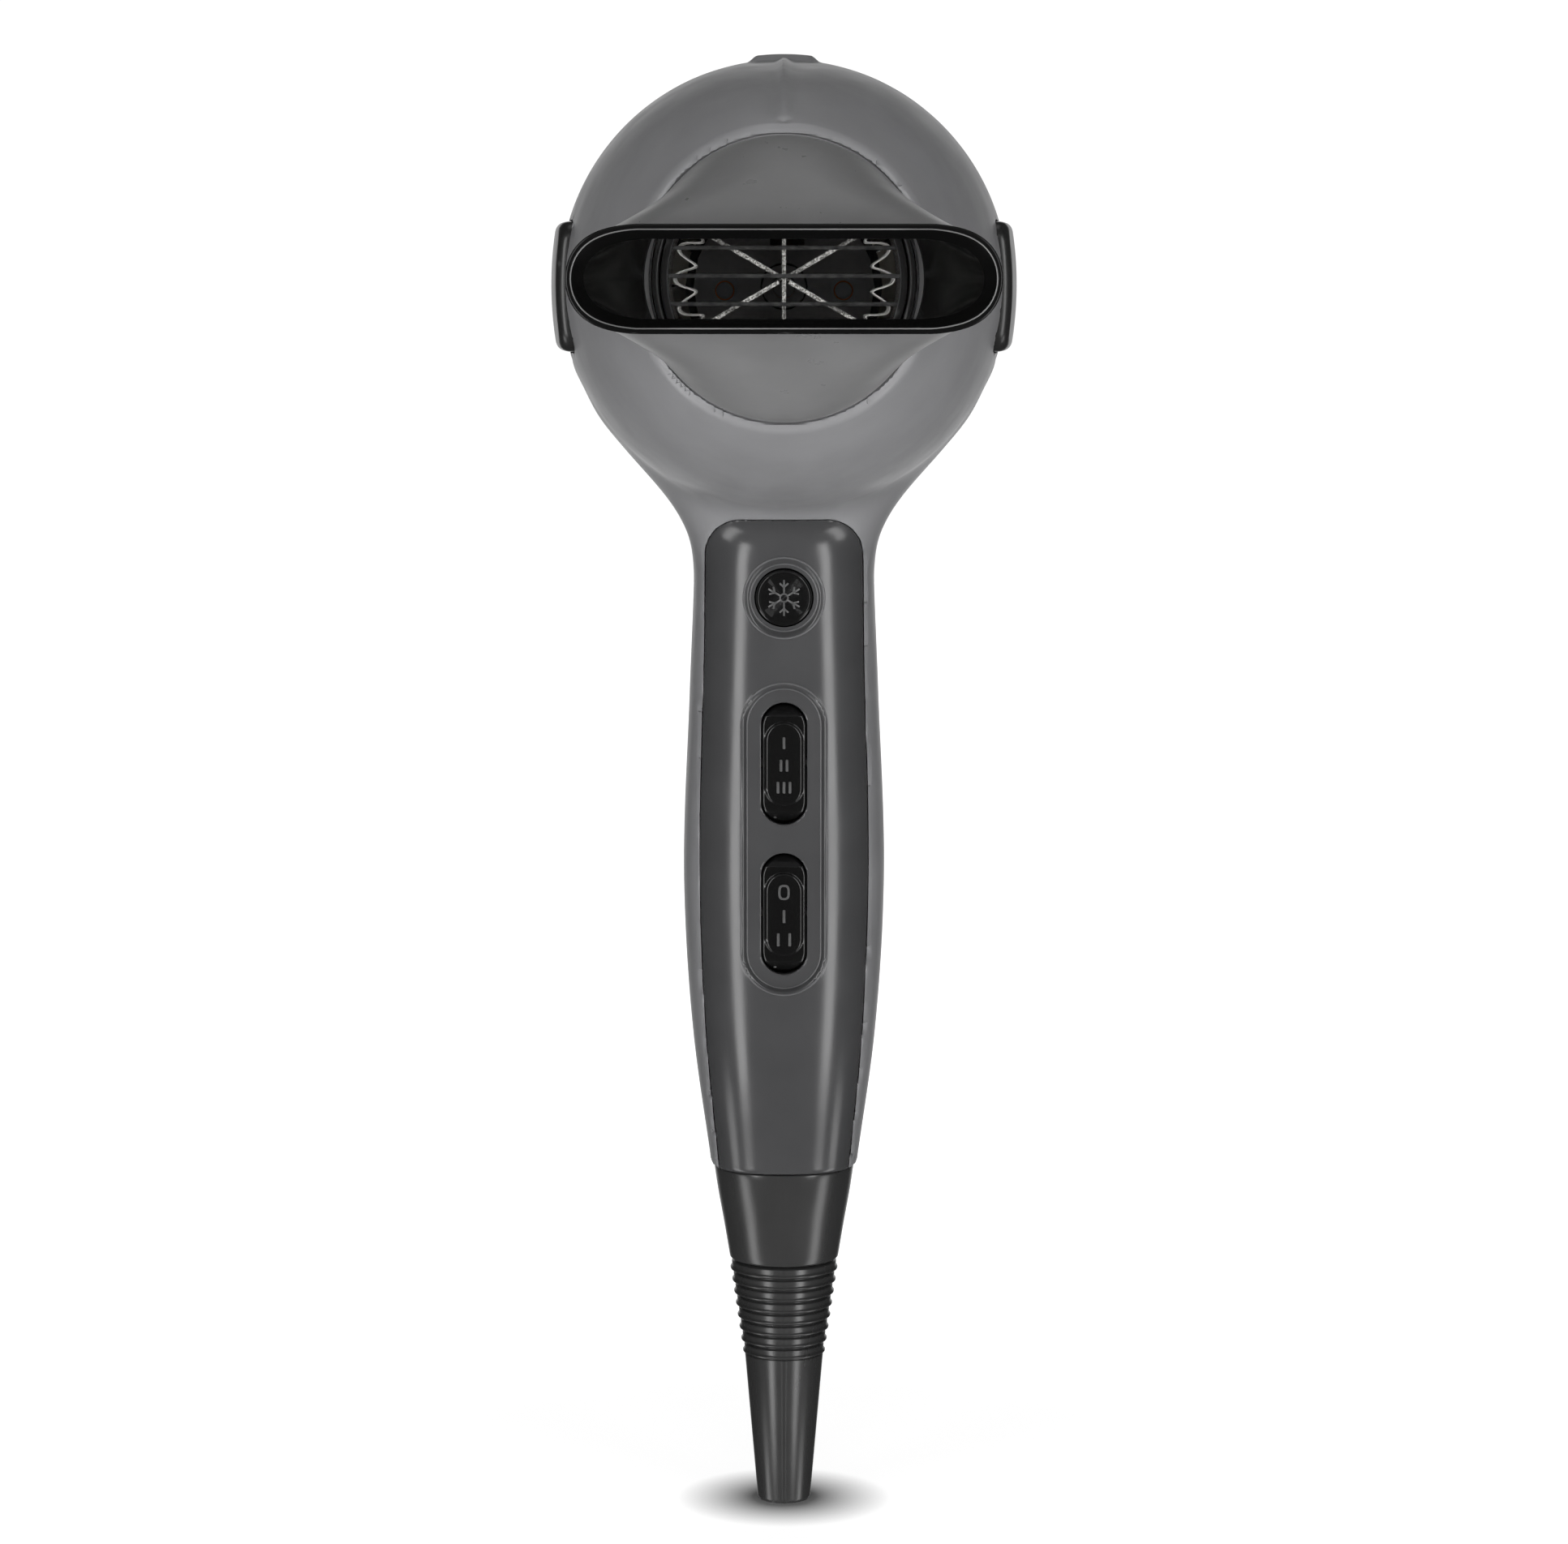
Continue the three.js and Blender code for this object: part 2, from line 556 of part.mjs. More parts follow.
function fanImpeller() {
  const { r, hubR, frontY, rearY, blades } = FAN;
  const profile = [[SHAFT_R + GAP, frontY], [hubR, frontY], [hubR, 72], [8, rearY], [SHAFT_R + GAP, rearY]];
  const hub = turned(profile, MEDIUM);
  const middleY = (frontY + rearY) / 2;
  // Each row: radius, pitch from the fan's plane, chord.
  const blade = () =>
    loft([[11.5, 50, 13], [25, 38, 16], [40.5, 28, 18]].map(([at, pitch, chord]) => {
      const lean = degrees(pitch);
      return [[-1, -1], [1, -1], [1, 1], [-1, 1]].map(([u, v]) => {
        const [c, thick] = [(u * chord) / 2, v * 0.6];
        const y = middleY + c * Math.sin(lean) + thick * Math.cos(lean);
        return new THREE.Vector3(at, y, c * Math.cos(lean) - thick * Math.sin(lean));
      });
    }));
  const trimmed = common(join(...around(blades, blade)), rod(r, frontY - 0.2, rearY + 0.2, ROUND));
  return cut(join(hub, trimmed), rod(SHAFT_R + GAP, 0, FAR));
}

// ---------------------------------------------------------------- air intake

/** Rings and evenly spaced ribs of a guard between two planes. */
function guard(rings, ribs, ribWidth, ribFrom, ribTo, y0, y1) {
  const rib = () => block([ribFrom, y0 + 0.2, -ribWidth / 2], [ribTo, y1 - 0.2, ribWidth / 2]);
  return join(...rings.map(([innerR, outerR]) => ring(innerR, outerR, y0, y1, MEDIUM)), ...around(ribs, rib));
}

const intakeGrille = () =>
  join(guard([[23.6, 25.2], [38.4, 40.2]], 4, 1.8, 8, 39.2, 79.4, 81.6), rod(9, 79.4, 81.6));

function filterCap() {
  const rim = [
    [41, CAP_Y + GAP], [43.2, CAP_Y + GAP], [42.6, 93], [39.2, 100.4],
    [35.4, REAR_Y], [32.6, REAR_Y], [36.4, 99.6], [40.4, 92.6],
  ];
  const face = REAR_Y - 2.3;
  const rings = guard([[15.4, 16.8], [24.4, 25.8]], 6, 1.6, 7.5, 33.6, face, REAR_Y);
  return join(turned(rim), rings, rod(8.5, face, REAR_Y));
}

function filterMesh() {
  const row = (r, count) => around(count, () => rod(5, 90, 100, 4).translate(r, 0, 0));
  return cut(rod(36, 96.2, 97, MEDIUM), ...row(13, 7), ...row(24, 13));
}

// ---------------------------------------------------------------- switches and button

/** A rocker: a stadium block with a raised pad, a keel and a bore for its pin. */
function rocker() {
  const { halfWidth, halfLength, shoulderY, padY, keelY } = ROCKER;
  return cut(
    join(
      prism(stadium(halfWidth, halfLength), shoulderY, PIVOT_Y + 0.6),
      prism(stadium(ROCKER_PAD.halfWidth, ROCKER_PAD.halfLength), padY, shoulderY + 1),
      block([-4.4, PIVOT_Y, -5], [4.4, keelY, 5]),
    ),
    crossRod(PIN_BORE_R, 20, PIVOT_Y),
  );
}

/** Open-topped switch housing whose two cheeks hold the rocker's pin. */
function switchBody() {
  return cut(
    block([-7.2, TRAY_BACK_Y + GAP, -15.2], [7.2, 30, 15.2]),
    block([-5.1, 0, -14], [5.1, 20.5, 14]),
    crossRod(PIN_BORE_R, 30, PIVOT_Y),
  );
}

function coolButton() {
  const { r, faceY, flangeR, flangeY, stemR, stemY } = BUTTON;
  const profile = [
    [0, faceY + 0.2],
    [r - 0.5, faceY],
    [r, faceY + 0.5],
    [r, flangeY],
    [flangeR, flangeY],
    [flangeR, flangeY + 1],
    [stemR, flangeY + 1],
    [stemR, stemY],
    [0, stemY],
  ];
  return turned(profile, 20);
}

function coolSwitchBody() {
  return join(block([-5.5, 23.4, -6.5], [5.5, 34, 6.5]), block([-8.6, 24, -2.5], [8.6, 27, 2.5]));
}

/** Cross-head screw along -Y, which enters through the housing's boss. */
function coverScrew() {
  const { headR, shankR, headDepth } = SCREW;
  const top = SEAT_Y + headDepth;
  const cross = join(
    block([-1.7, top - 1, -0.35], [1.7, top + 1, 0.35]),
    block([-0.35, top - 1, -1.7], [0.35, top + 1, 1.7]),
  );
  return cut(join(rod(headR, SEAT_Y + GAP, top), rod(shankR, POST_Y - 7, SEAT_Y + 1, 10)), cross);
}

// ---------------------------------------------------------------- handle interior and cord boot

/** Insulated lead along a smooth route of [x, y, drop] points. */
function lead(route) {
  const path = new THREE.CatmullRomCurve3(route.map(([x, y, drop]) => new THREE.Vector3(x, y, -drop)));
  const section = new THREE.Shape().absarc(0, 0, 1.1, 0, 2 * Math.PI);
  return new THREE.ExtrudeGeometry(section, { steps: 10, curveSegments: 3, extrudePath: path });
}

/** Hollow collar that carries the handle's oval end down to the round boot. */
function cordCollar() {
  // Each row: drop, half width, half depth.
  const rows = [
    [HANDLE_END + GAP, 15.7, 18.0], [202, 14.9, 16.6],
    [210, 13.5, 14.3], [COLLAR_END, 12.1, 12.1],
  ];
  const form = (inset, extra) =>
    loft(rows.map(([drop, a, b], k) => {
      const reach = extra * ((k === rows.length - 1) - (k === 0));
      const section = superellipse(a - inset, b - inset, 2.2, 2.2, 6);
      return section.map(([x, y]) => new THREE.Vector3(x, y, -drop - reach));
    }));
  return cut(form(0, 0), form(2, 1));
}

/** Ribbed, tapered boot around the cord, with a plug that sits inside the collar. */
function strainRelief() {
  const top = AXIS_HEIGHT - COLLAR_END - GAP;
  const { topR, ribEndR, coneR, endR, boreR, plugR, plug } = BOOT;
  const ribs = Array.from({ length: RIBS }, (_, k) => {
    const r = mix(topR, ribEndR, k / (RIBS - 1));
    const z = top - k * RIB_PITCH;
    return [[r - RIB_DEPTH, z], [r, z - 0.8], [r, z - 2]];
  });
  const coneTop = top - RIBS * RIB_PITCH;
  const profile = [
    [boreR, top + plug], [plugR, top + plug], [plugR, top], ...ribs.flat(),
    [coneR, coneTop], [endR, 0.6], [endR - 0.4, 0], [boreR, 0],
  ];
  return turned(profile, 20).rotateX(Math.PI / 2);
}

/** Saddle that grips the cord's inner end. */
function cordClamp() {
  const groove = new THREE.CylinderGeometry(3.4, 3.4, 20, SMALL).rotateX(Math.PI / 2);
  return cut(block([-8, 0, -4], [8, 7, 4]), groove);
}

// ---------------------------------------------------------------- assembly

function frame(parent, x, y, z) {
  const group = new THREE.Group();
  group.position.set(x, y, z);
  parent.add(group);
  return group;
}

function add(parent, name, piece, material) {
  const { vertProperties, triVerts } = asSolid(piece).getMesh();
  const geometry = new THREE.BufferGeometry();
  geometry.setAttribute("position", new THREE.BufferAttribute(new Float32Array(vertProperties), 3));
  geometry.setIndex(new THREE.BufferAttribute(new Uint32Array(triVerts), 1));
  geometry.computeVertexNormals();
  const mesh = new THREE.Mesh(geometry, material.clone());
  mesh.name = name;
  parent.add(mesh);
  return mesh;
}

function addCasings(body, head) {
  add(body, "main_housing", mainHousing(), HOUSING);
  add(body, "rear_housing", rearHousing(), HOUSING);
  add(body, "handle_front_cover", handleCover(), DARK_COVER);
  add(head, "side_pad_left", sidePad(-1, PAD.sink, 0, 0), RUBBER);
  add(head, "side_pad_right", sidePad(1, PAD.sink, 0, 0), RUBBER);
  for (const [name, x, drop] of SCREWS) add(frame(body, x, 0, -drop), name, coverScrew(), STEEL);
}

function addNozzle(body) {
  add(body, "nozzle_shell", nozzleShell(), HOUSING);
  add(body, "nozzle_duct", nozzleDuct(), GLOSS_BLACK);
  add(body, "nozzle_collar", nozzleCollar(), HOT_BLACK);
}

function addHeater(body) {
  add(body, "outlet_grille", outletGrille(), HOT_BLACK);
  add(body, "mica_sleeve", ring(SLEEVE.innerR, SLEEVE.outerR, SPIGOT_Y + 4, -14, MEDIUM), MICA);
  ["front", "middle", "rear"].forEach((place, third) => {
    add(body, `mica_board_${place}`, micaBoard(third), MICA).rotation.y = degrees(90 - 60 * third);
    add(body, `heater_coil_${place}`, heaterCoil(), WIRE).position.y = COIL_Y[third];
  });
  add(body, "thermostat", crossRod(4, 3.4, 0), STEEL).position.set(2.5, -20.5, 11);
  add(body, "thermal_fuse", rod(1.3, -23.5, -15.5, 10), STEEL).position.set(-2.2, 0, 10);
  add(body, "air_funnel", airFunnel(), HOT_BLACK);
}

function addMotor(head) {
  const rearPlate = CAN.rearY + GAP;
  const frontPlate = CAN.frontY - GAP - END_PLATE;
  add(head, "motor_mount", motorMount(), HOT_BLACK);
  add(head, "motor_can", ring(CAN.innerR, CAN.outerR, CAN.frontY, CAN.rearY, MEDIUM), STEEL);
  add(head, "motor_end_front", motorEnd(), STEEL).position.y = frontPlate;
  add(head, "motor_end_rear", motorEnd(), STEEL).position.y = rearPlate;
  for (const [name, side] of [["motor_screw_left", -1], ["motor_screw_right", 1]]) {
    add(head, name, motorScrew(), STEEL).position.set(side * MOTOR_SCREW_X, frontPlate - GAP, 0);
    add(head, name.replace("motor_screw", "brush"), block([6.9, 50.4, -1.8], [13, 53, 1.8]), HOT_BLACK);
    head.children.at(-1).rotation.y = side < 0 ? Math.PI : 0;
  }
  add(head, "stator_core", ring(11.3, CAN.innerR - GAP, 24, 44, MEDIUM), STEEL);
  add(head, "field_coil_front", ring(12.2, 16.8, 19, 23.6, 24), COPPER);
  add(head, "field_coil_rear", ring(12.2, 16.8, 44.4, 47.6, 24), COPPER);
  add(head, "bearing_front", ring(SHAFT_R + 0.2, 4.8, 14.4, 17.6, SMALL), STEEL);
  add(head, "bearing_rear", ring(SHAFT_R + 0.2, 4.8, 56.4, 59.6, SMALL), STEEL);
}

function addRotor(head) {
  add(head, "motor_shaft", rod(SHAFT_R, 11, 77.5), STEEL);
  add(head, "armature", ring(SHAFT_R + GAP, 10.7, 24, 44, 24), STEEL);
  add(head, "commutator", ring(SHAFT_R + GAP, 6.5, 48.6, 54.4, SMALL), COPPER);
  add(head, "fan_impeller", fanImpeller(), FAN_WHITE);
}

function addIntake(head) {
  add(head, "intake_grille", intakeGrille(), HOT_BLACK);
  add(head, "filter_cap", filterCap(), HOUSING);
  add(head, "filter_mesh", filterMesh(), STEEL);
}

function addControls(body) {
  for (const [name, drop] of [["heat", HEAT_DROP], ["speed", SPEED_DROP]]) {
    const place = frame(body, 0, 0, -drop);
    add(place, `${name}_rocker`, rocker(), GLOSS_BLACK);
    add(place, `${name}_rocker_pin`, crossRod(PIN_R, 13.6, PIVOT_Y), STEEL);
    add(place, `${name}_switch_body`, switchBody(), SWITCH);
  }
  const place = frame(body, 0, 0, -BUTTON.drop);
  add(place, "cool_button", coolButton(), GLOSS_BLACK);
  add(place, "cool_switch_body", coolSwitchBody(), SWITCH);
}

function addHandleInterior(body) {
  add(body, "control_board", block([-11, 37, -152], [11, 38.6, -92]), LAMINATE);
  add(body, "suppressor_capacitor", block([-8, 39, -128], [8, 47.5, -112]), SWITCH);
  const live = [[3, 31.5, 196], [9, 31.5, 180], [10.5, 33.6, 165], [4, 33.4, 157]];
  const neutral = [
    [-3, 31.4, 196], [-9.5, 31.5, 183], [-12, 42, 163], [-12, 43, 135],
    [-11, 43, 103], [-2.5, 41, 85], [-2.5, 39, 72], [-8, 32, 50],
  ];
  add(body, "lead_live", lead(live), INSULATION);
  add(body, "lead_neutral", lead(neutral), INSULATION);
  add(body, "cord_clamp", cordClamp(), SWITCH).position.set(0, HANDLE_Y, -187);
}

const dryer = new THREE.Group();
const body = frame(dryer, 0, 0, AXIS_HEIGHT);
const head = frame(body, 0, 0, -HEAD_DROP);
const cord = frame(dryer, 0, HANDLE_Y, 0);

addCasings(body, head);
addNozzle(body);
addHeater(body);
addMotor(head);
addRotor(head);
addIntake(head);
addControls(body);
addHandleInterior(body);
add(cord, "cord_collar", cordCollar(), RUBBER).position.z = AXIS_HEIGHT;
add(cord, "strain_relief", strainRelief(), RUBBER);

export default dryer;
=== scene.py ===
"""Salon hair dryer: fine surfaces, materials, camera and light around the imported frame.

Lengths are millimetres in the "body" frame: x and y as in the row frame, z = 0 on the outlet axis.
A drop is a distance below that axis. Outer skins are level sets of signed distance fields.
"""
import math

import bmesh
import bpy
import numpy as np
from mathutils import Matrix, Vector


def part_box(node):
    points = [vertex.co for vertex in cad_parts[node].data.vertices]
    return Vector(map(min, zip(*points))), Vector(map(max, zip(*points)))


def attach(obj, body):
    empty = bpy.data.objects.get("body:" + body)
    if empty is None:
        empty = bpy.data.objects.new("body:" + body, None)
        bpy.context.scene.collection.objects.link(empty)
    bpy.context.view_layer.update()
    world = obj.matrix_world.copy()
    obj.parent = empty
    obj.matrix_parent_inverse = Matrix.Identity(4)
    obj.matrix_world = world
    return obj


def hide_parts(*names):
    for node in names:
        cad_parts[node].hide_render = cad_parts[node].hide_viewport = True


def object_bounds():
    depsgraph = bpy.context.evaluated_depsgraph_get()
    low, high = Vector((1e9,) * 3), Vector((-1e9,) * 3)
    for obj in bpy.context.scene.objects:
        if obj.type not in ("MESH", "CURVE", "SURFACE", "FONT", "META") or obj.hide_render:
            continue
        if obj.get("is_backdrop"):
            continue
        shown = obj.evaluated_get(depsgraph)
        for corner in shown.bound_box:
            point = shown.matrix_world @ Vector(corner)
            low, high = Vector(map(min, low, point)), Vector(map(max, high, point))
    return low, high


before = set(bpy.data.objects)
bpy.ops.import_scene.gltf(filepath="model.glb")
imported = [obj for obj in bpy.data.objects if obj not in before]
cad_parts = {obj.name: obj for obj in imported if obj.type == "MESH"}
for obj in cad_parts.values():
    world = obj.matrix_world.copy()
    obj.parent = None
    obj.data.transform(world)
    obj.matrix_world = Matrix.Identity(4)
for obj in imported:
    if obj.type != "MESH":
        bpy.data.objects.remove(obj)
cad_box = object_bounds()

MM = 0.001


def low(node):
    return np.array(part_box(node)[0]) / MM


def high(node):
    return np.array(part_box(node)[1]) / MM


# ---- places taken from the frame

AXIS_Z = (low("nozzle_duct")[2] + high("nozzle_duct")[2]) / 2
HEAD_DROP = AXIS_Z - (low("filter_cap")[2] + high("filter_cap")[2]) / 2
MOUTH_Y = low("nozzle_duct")[1]
FLANGE_Y = low("nozzle_shell")[1]
NOZZLE_BASE_Y = high("nozzle_shell")[1]
SPIGOT_Y = low("main_housing")[1]
SPLIT_Y = high("main_housing")[1]
CAP_Y = high("rear_housing")[1]
REAR_Y = high("filter_cap")[1]
HEAD_R = high("main_housing")[0]
CORD_Y = (low("strain_relief")[1] + high("strain_relief")[1]) / 2
HANDLE_END = AXIS_Z - low("handle_front_cover")[2]
COLLAR_END = AXIS_Z - low("cord_collar")[2]
BOOT_TOP = high("strain_relief")[2]


def middle_drop(node):
    return AXIS_Z - (low(node)[2] + high(node)[2]) / 2


BUTTON_DROP = middle_drop("cool_button")
ROCKER_DROP = {"heat": middle_drop("heat_rocker"), "speed": middle_drop("speed_rocker")}
TRAY_DROP = (ROCKER_DROP["heat"] + ROCKER_DROP["speed"]) / 2

# ---- driving dimensions

GAP = 0.3
SEAM = 0.08
WALL = 2.4
FRONT_Y = -56.0
WIDE_Y = 15.0
TAPER_Y = 45.0
LIP_R = 30.0
CAP_R = 43.0
DOME_POWER = 2.2
RECESS_R = 28.6
WEB_Y = -50.0
OUTLET_R = 24.8
SPIGOT_R = 26.1
SCREWS = [(-9.4, 81.5), (9.4, 81.5), (0.0, 172.0)]  # x and drop
BOSS_R = 4.2
BOSS_FRONT_Y = 25.9
POST_R = 3.2
POST_BACK_Y = 25.3
SCREW_CLEAR_R = 1.7
SCREW_SEAT_Y = 40.0

# Each row: drop, half width, front face y, rear face y. The blend with the head adds the flare.
HANDLE = [
    (12.0, 27.0, 4.0, 55.0),
    (18.0, 33.6, 4.0, 56.0),
    (24.0, 31.2, 5.0, 57.0),
    (29.4, 29.6, 6.0, 57.0),
    (36.6, 24.7, 7.5, 56.5),
    (43.7, 21.5, 8.6, 56.0),
    (54.4, 19.6, 9.2, 55.5),
    (63.4, 19.8, 9.2, 55.5),
    (90.0, 20.85, 9.0, 55.5),
    (134.0, 22.2, 8.4, 57.0),
    (167.0, 20.2, 9.8, 55.0),
    (HANDLE_END, 16.3, 14.0, 51.0),
]
HANDLE_POWER = 2.7

COVER = [(51.4, 17.0), (75.0, 17.2), (134.0, 18.3), (167.0, 16.9), (HANDLE_END, 14.2)]
COVER_TOP = 51.4
COVER_CORNER = 8.0
COVER_BACK_Y = 24.0


def smooth_table(table, column):
    """A smooth curve through one column of a table, as a function of its first column."""
    rows = np.array(table, float)
    at, value = rows[:, 0], rows[:, column]
    slope = np.gradient(value, at)
    dense = np.linspace(at[0], at[-1], 600)
    k = np.clip(np.searchsorted(at, dense, side="right") - 1, 0, len(at) - 2)
    width = at[k + 1] - at[k]
    t = (dense - at[k]) / width
    curve = (
        (2 * t**3 - 3 * t**2 + 1) * value[k]
        + (t**3 - 2 * t**2 + t) * width * slope[k]
        + (3 * t**2 - 2 * t**3) * value[k + 1]
        + (t**3 - t**2) * width * slope[k + 1]
    )
    return lambda x: np.interp(x, dense, curve)


handle_half_width = smooth_table(HANDLE, 1)
handle_front = smooth_table(HANDLE, 2)
handle_rear = smooth_table(HANDLE, 3)
cover_half_width = smooth_table(COVER, 1)


def smoothstep(x, a, b):
    t = np.clip((x - a) / (b - a), 0, 1)
    return t * t * (3 - 2 * t)


def blend_min(a, b, k):
    """The smaller of two distances, with the crease between them rounded over a width k."""
    h = np.clip(k - np.abs(a - b), 0, None) / k
    return np.minimum(a, b) - h * h * k / 4


def blend_max(a, b, k):
    return -blend_min(-a, -b, k)


# ---- distance fields of the casing


def head_radius(y):
    share = np.clip((y - FRONT_Y) / (WIDE_Y - FRONT_Y), 0, 1)
    dome = LIP_R + (HEAD_R - LIP_R) * (1 - (1 - share) ** DOME_POWER)
    tail = HEAD_R - (HEAD_R - CAP_R) * (np.clip(y - TAPER_Y, 0, None) / (CAP_Y - TAPER_Y)) ** 2
    return np.where(y < TAPER_Y, dome, tail)


def head_centre(y):
    return -HEAD_DROP * smoothstep(y, FRONT_Y, WIDE_Y)


def spine(x, y, z):
    """Height of the keel on top of the head, of the flat boss behind it and of the dimple before it."""
    valley = np.interp(y, [-54, -20, 10], [1.6, 6.0, 11.0])
    keel = np.exp(-((x / 1.3) ** 2)) - 0.7 * np.exp(-((x / valley) ** 2))
    keel = keel * smoothstep(y, -53, -47) * (1 - smoothstep(y, 0, 8))
    boss = 1.15 * (1 - smoothstep(np.abs(x), 5.6, 8.0)) * smoothstep(y, 3, 8) * (1 - smoothstep(y, 38, 44))
    dimple = 0.55 * np.exp(-(x**2 + (y + 53.3) ** 2) / 0.7)
    return np.where(z > head_centre(y), keel + boss - dimple, 0.0)


def head_field(x, y, z):
    slope = head_radius(y + 0.5) - head_radius(y - 0.5)
    rho = np.hypot(x, z - head_centre(y))
    side = (rho - head_radius(y) - spine(x, y, z)) / np.sqrt(1 + np.minimum(slope, 4) ** 2)
    return blend_max(side, FRONT_Y - y, 2.0)


def handle_field(x, y, z):
    drop = -z
    a = handle_half_width(drop)
    front, rear = handle_front(drop), handle_rear(drop)
    b = (rear - front) / 2
    u = np.abs(x) / a
    v = np.abs(y - (front + rear) / 2) / b
    n = HANDLE_POWER
    g = np.maximum((u**n + v**n) ** (1 / n), 1e-6)
    gradient = np.hypot((u / g) ** (n - 1) / a, (v / g) ** (n - 1) / b)
    section = (g - 1) / np.maximum(gradient, 1 / 60)
    return blend_max(section, HANDLE[0][0] - drop, 6.0)


def casing_field(x, y, z):
    """Outer skin of head and handle, flowing into each other at the neck."""
    blend = 13 + 7 * smoothstep(y, 8, 26) - 14 * smoothstep(y, 42, 60)
    return blend_min(head_field(x, y, z), handle_field(x, y, z), blend)


def cover_field(x, y, z):
    """Front outline of the handle cover, as a prism along y."""
    drop = -z
    half = cover_half_width(drop)
    corner = COVER_CORNER
    over = np.maximum(np.abs(x) - (half - corner), 0)
    up = np.maximum(COVER_TOP + corner - drop, 0)
    rounded = np.hypot(over, up) - corner
    return np.where(drop < COVER_TOP + corner, rounded, np.abs(x) - half)


def stadium_field(x, z, half_width, half_length):
    straight = half_length - half_width
    return np.hypot(x, np.maximum(np.abs(z) - straight, 0)) - half_width


# ---- meshes from fields


def gradient_of(field, p, eps=0.04):
    out = np.empty_like(p)
    for axis in range(3):
        step = np.zeros(3)
        step[axis] = eps
        out[:, axis] = field(*(p + step).T) - field(*(p - step).T)
    length = np.linalg.norm(out, axis=1, keepdims=True)
    return out / np.maximum(length, 1e-12)


def sampled(field, lower, shape, step):
    """The field on a grid. Cells far from the surface keep a coarse value, which has the right sign."""
    stride = 4
    coarse_shape = tuple(-(-n // stride) for n in shape)
    offset = (stride - 1) / 2
    axes = [lower[i] + step * (np.arange(coarse_shape[i]) * stride + offset) for i in range(3)]
    grid = np.stack(np.meshgrid(*axes, indexing="ij"), -1).reshape(-1, 3)
    coarse = field(*grid.T).reshape(coarse_shape)
    near = np.abs(coarse) < step * stride * 1.6
    values = coarse
    for axis in range(3):
        values = np.repeat(values, stride, axis)
        near = np.repeat(near, stride, axis)
    values = values[: shape[0], : shape[1], : shape[2]].copy()
    index = np.argwhere(near[: shape[0], : shape[1], : shape[2]])
    for part in np.array_split(index, max(1, len(index) // 500000)):
        values[tuple(part.T)] = field(*(lower + step * part).T)
    return values


def contour(field, lower, upper, step):
    """Dual contouring of field = 0: vertices sit on creases, so cut edges come out crisp."""
    lower = np.array(lower, float)
    shape = tuple(int(n) for n in np.ceil((np.array(upper) - lower) / step) + 1)
    values = sampled(field, lower, shape, step)
    cells, points, normals, quads = [], [], [], []
    strides = np.array([shape[1] * shape[2], shape[2], 1])
    for axis in range(3):
        first = [slice(None)] * 3
        second = [slice(None)] * 3
        first[axis] = slice(0, -1)
        second[axis] = slice(1, None)
        f0, f1 = values[tuple(first)], values[tuple(second)]
        where = np.argwhere((f0 < 0) != (f1 < 0))
        v0, v1 = f0[tuple(where.T)], f1[tuple(where.T)]
        a, b = v0.copy(), v1.copy()
        lo_t, hi_t = np.zeros(len(where)), np.ones(len(where))
        along = np.zeros(3)
        along[axis] = 1
        for _ in range(3):
            t = lo_t + (hi_t - lo_t) * np.clip(a / (a - b), 0.05, 0.95)
            value = field(*(lower + step * (where + t[:, None] * along)).T)
            same = (value < 0) == (a < 0)
            lo_t, a = np.where(same, t, lo_t), np.where(same, value, a)
            hi_t, b = np.where(same, hi_t, t), np.where(same, b, value)
        t = lo_t + (hi_t - lo_t) * a / (a - b)
        point = lower + step * (where + t[:, None] * along)
        normal = gradient_of(field, point)
        u, v = (axis + 1) % 3, (axis + 2) % 3
        ring = []
        for du, dv in ((1, 1), (0, 1), (0, 0), (1, 0)):
            cell = where.copy()
            cell[:, u] -= du
            cell[:, v] -= dv
            ring.append(cell @ strides)
            cells.append(ring[-1])
            points.append(point)
            normals.append(normal)
        quad = np.stack(ring, 1)
        flip = v0 > 0
        quad[flip] = quad[flip][:, ::-1]
        quads.append(quad)
    cells, points, normals = (np.concatenate(part) for part in (cells, points, normals))
    ids, inverse = np.unique(cells, return_inverse=True)
    count = np.bincount(inverse)

    def gathered(weights):
        return np.bincount(inverse, weights)

    mass = np.stack([gathered(points[:, i]) for i in range(3)], 1) / count[:, None]
    offset = np.einsum("ij,ij->i", normals, points - mass[inverse])
    pull = 0.03
    matrix = np.empty((len(ids), 3, 3))
    right = np.empty((len(ids), 3))
    for i in range(3):
        for j in range(i, 3):
            matrix[:, i, j] = matrix[:, j, i] = gathered(normals[:, i] * normals[:, j])
        matrix[:, i, i] += pull * count
        right[:, i] = gathered(normals[:, i] * offset)
    vertex = mass + np.linalg.solve(matrix, right[..., None])[..., 0]
    corner = np.stack(np.unravel_index(ids, shape), 1) * step + lower
    vertex = np.clip(vertex, corner - 0.1 * step, corner + 1.1 * step)
    faces = np.searchsorted(ids, np.concatenate(quads))
    return vertex, faces


def new_object(name, vertices, faces, material, body, replaces=(), crease=40.0):
    """A smooth-shaded mesh object from points in the body frame."""
    points = np.array(vertices, float) + (0, 0, AXIS_Z)
    mesh = bpy.data.meshes.new(name)
    mesh.from_pydata((points * MM).tolist(), [], [list(face) for face in faces])
    mesh.validate()
    mesh.materials.append(material)
    mesh.shade_smooth()
    mesh.set_sharp_from_angle(angle=math.radians(crease))
    thing = bpy.data.objects.new(name, mesh)
    bpy.context.scene.collection.objects.link(thing)
    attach(thing, body)
    if replaces:
        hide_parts(*replaces)
    return thing


# ---- swept and turned meshes


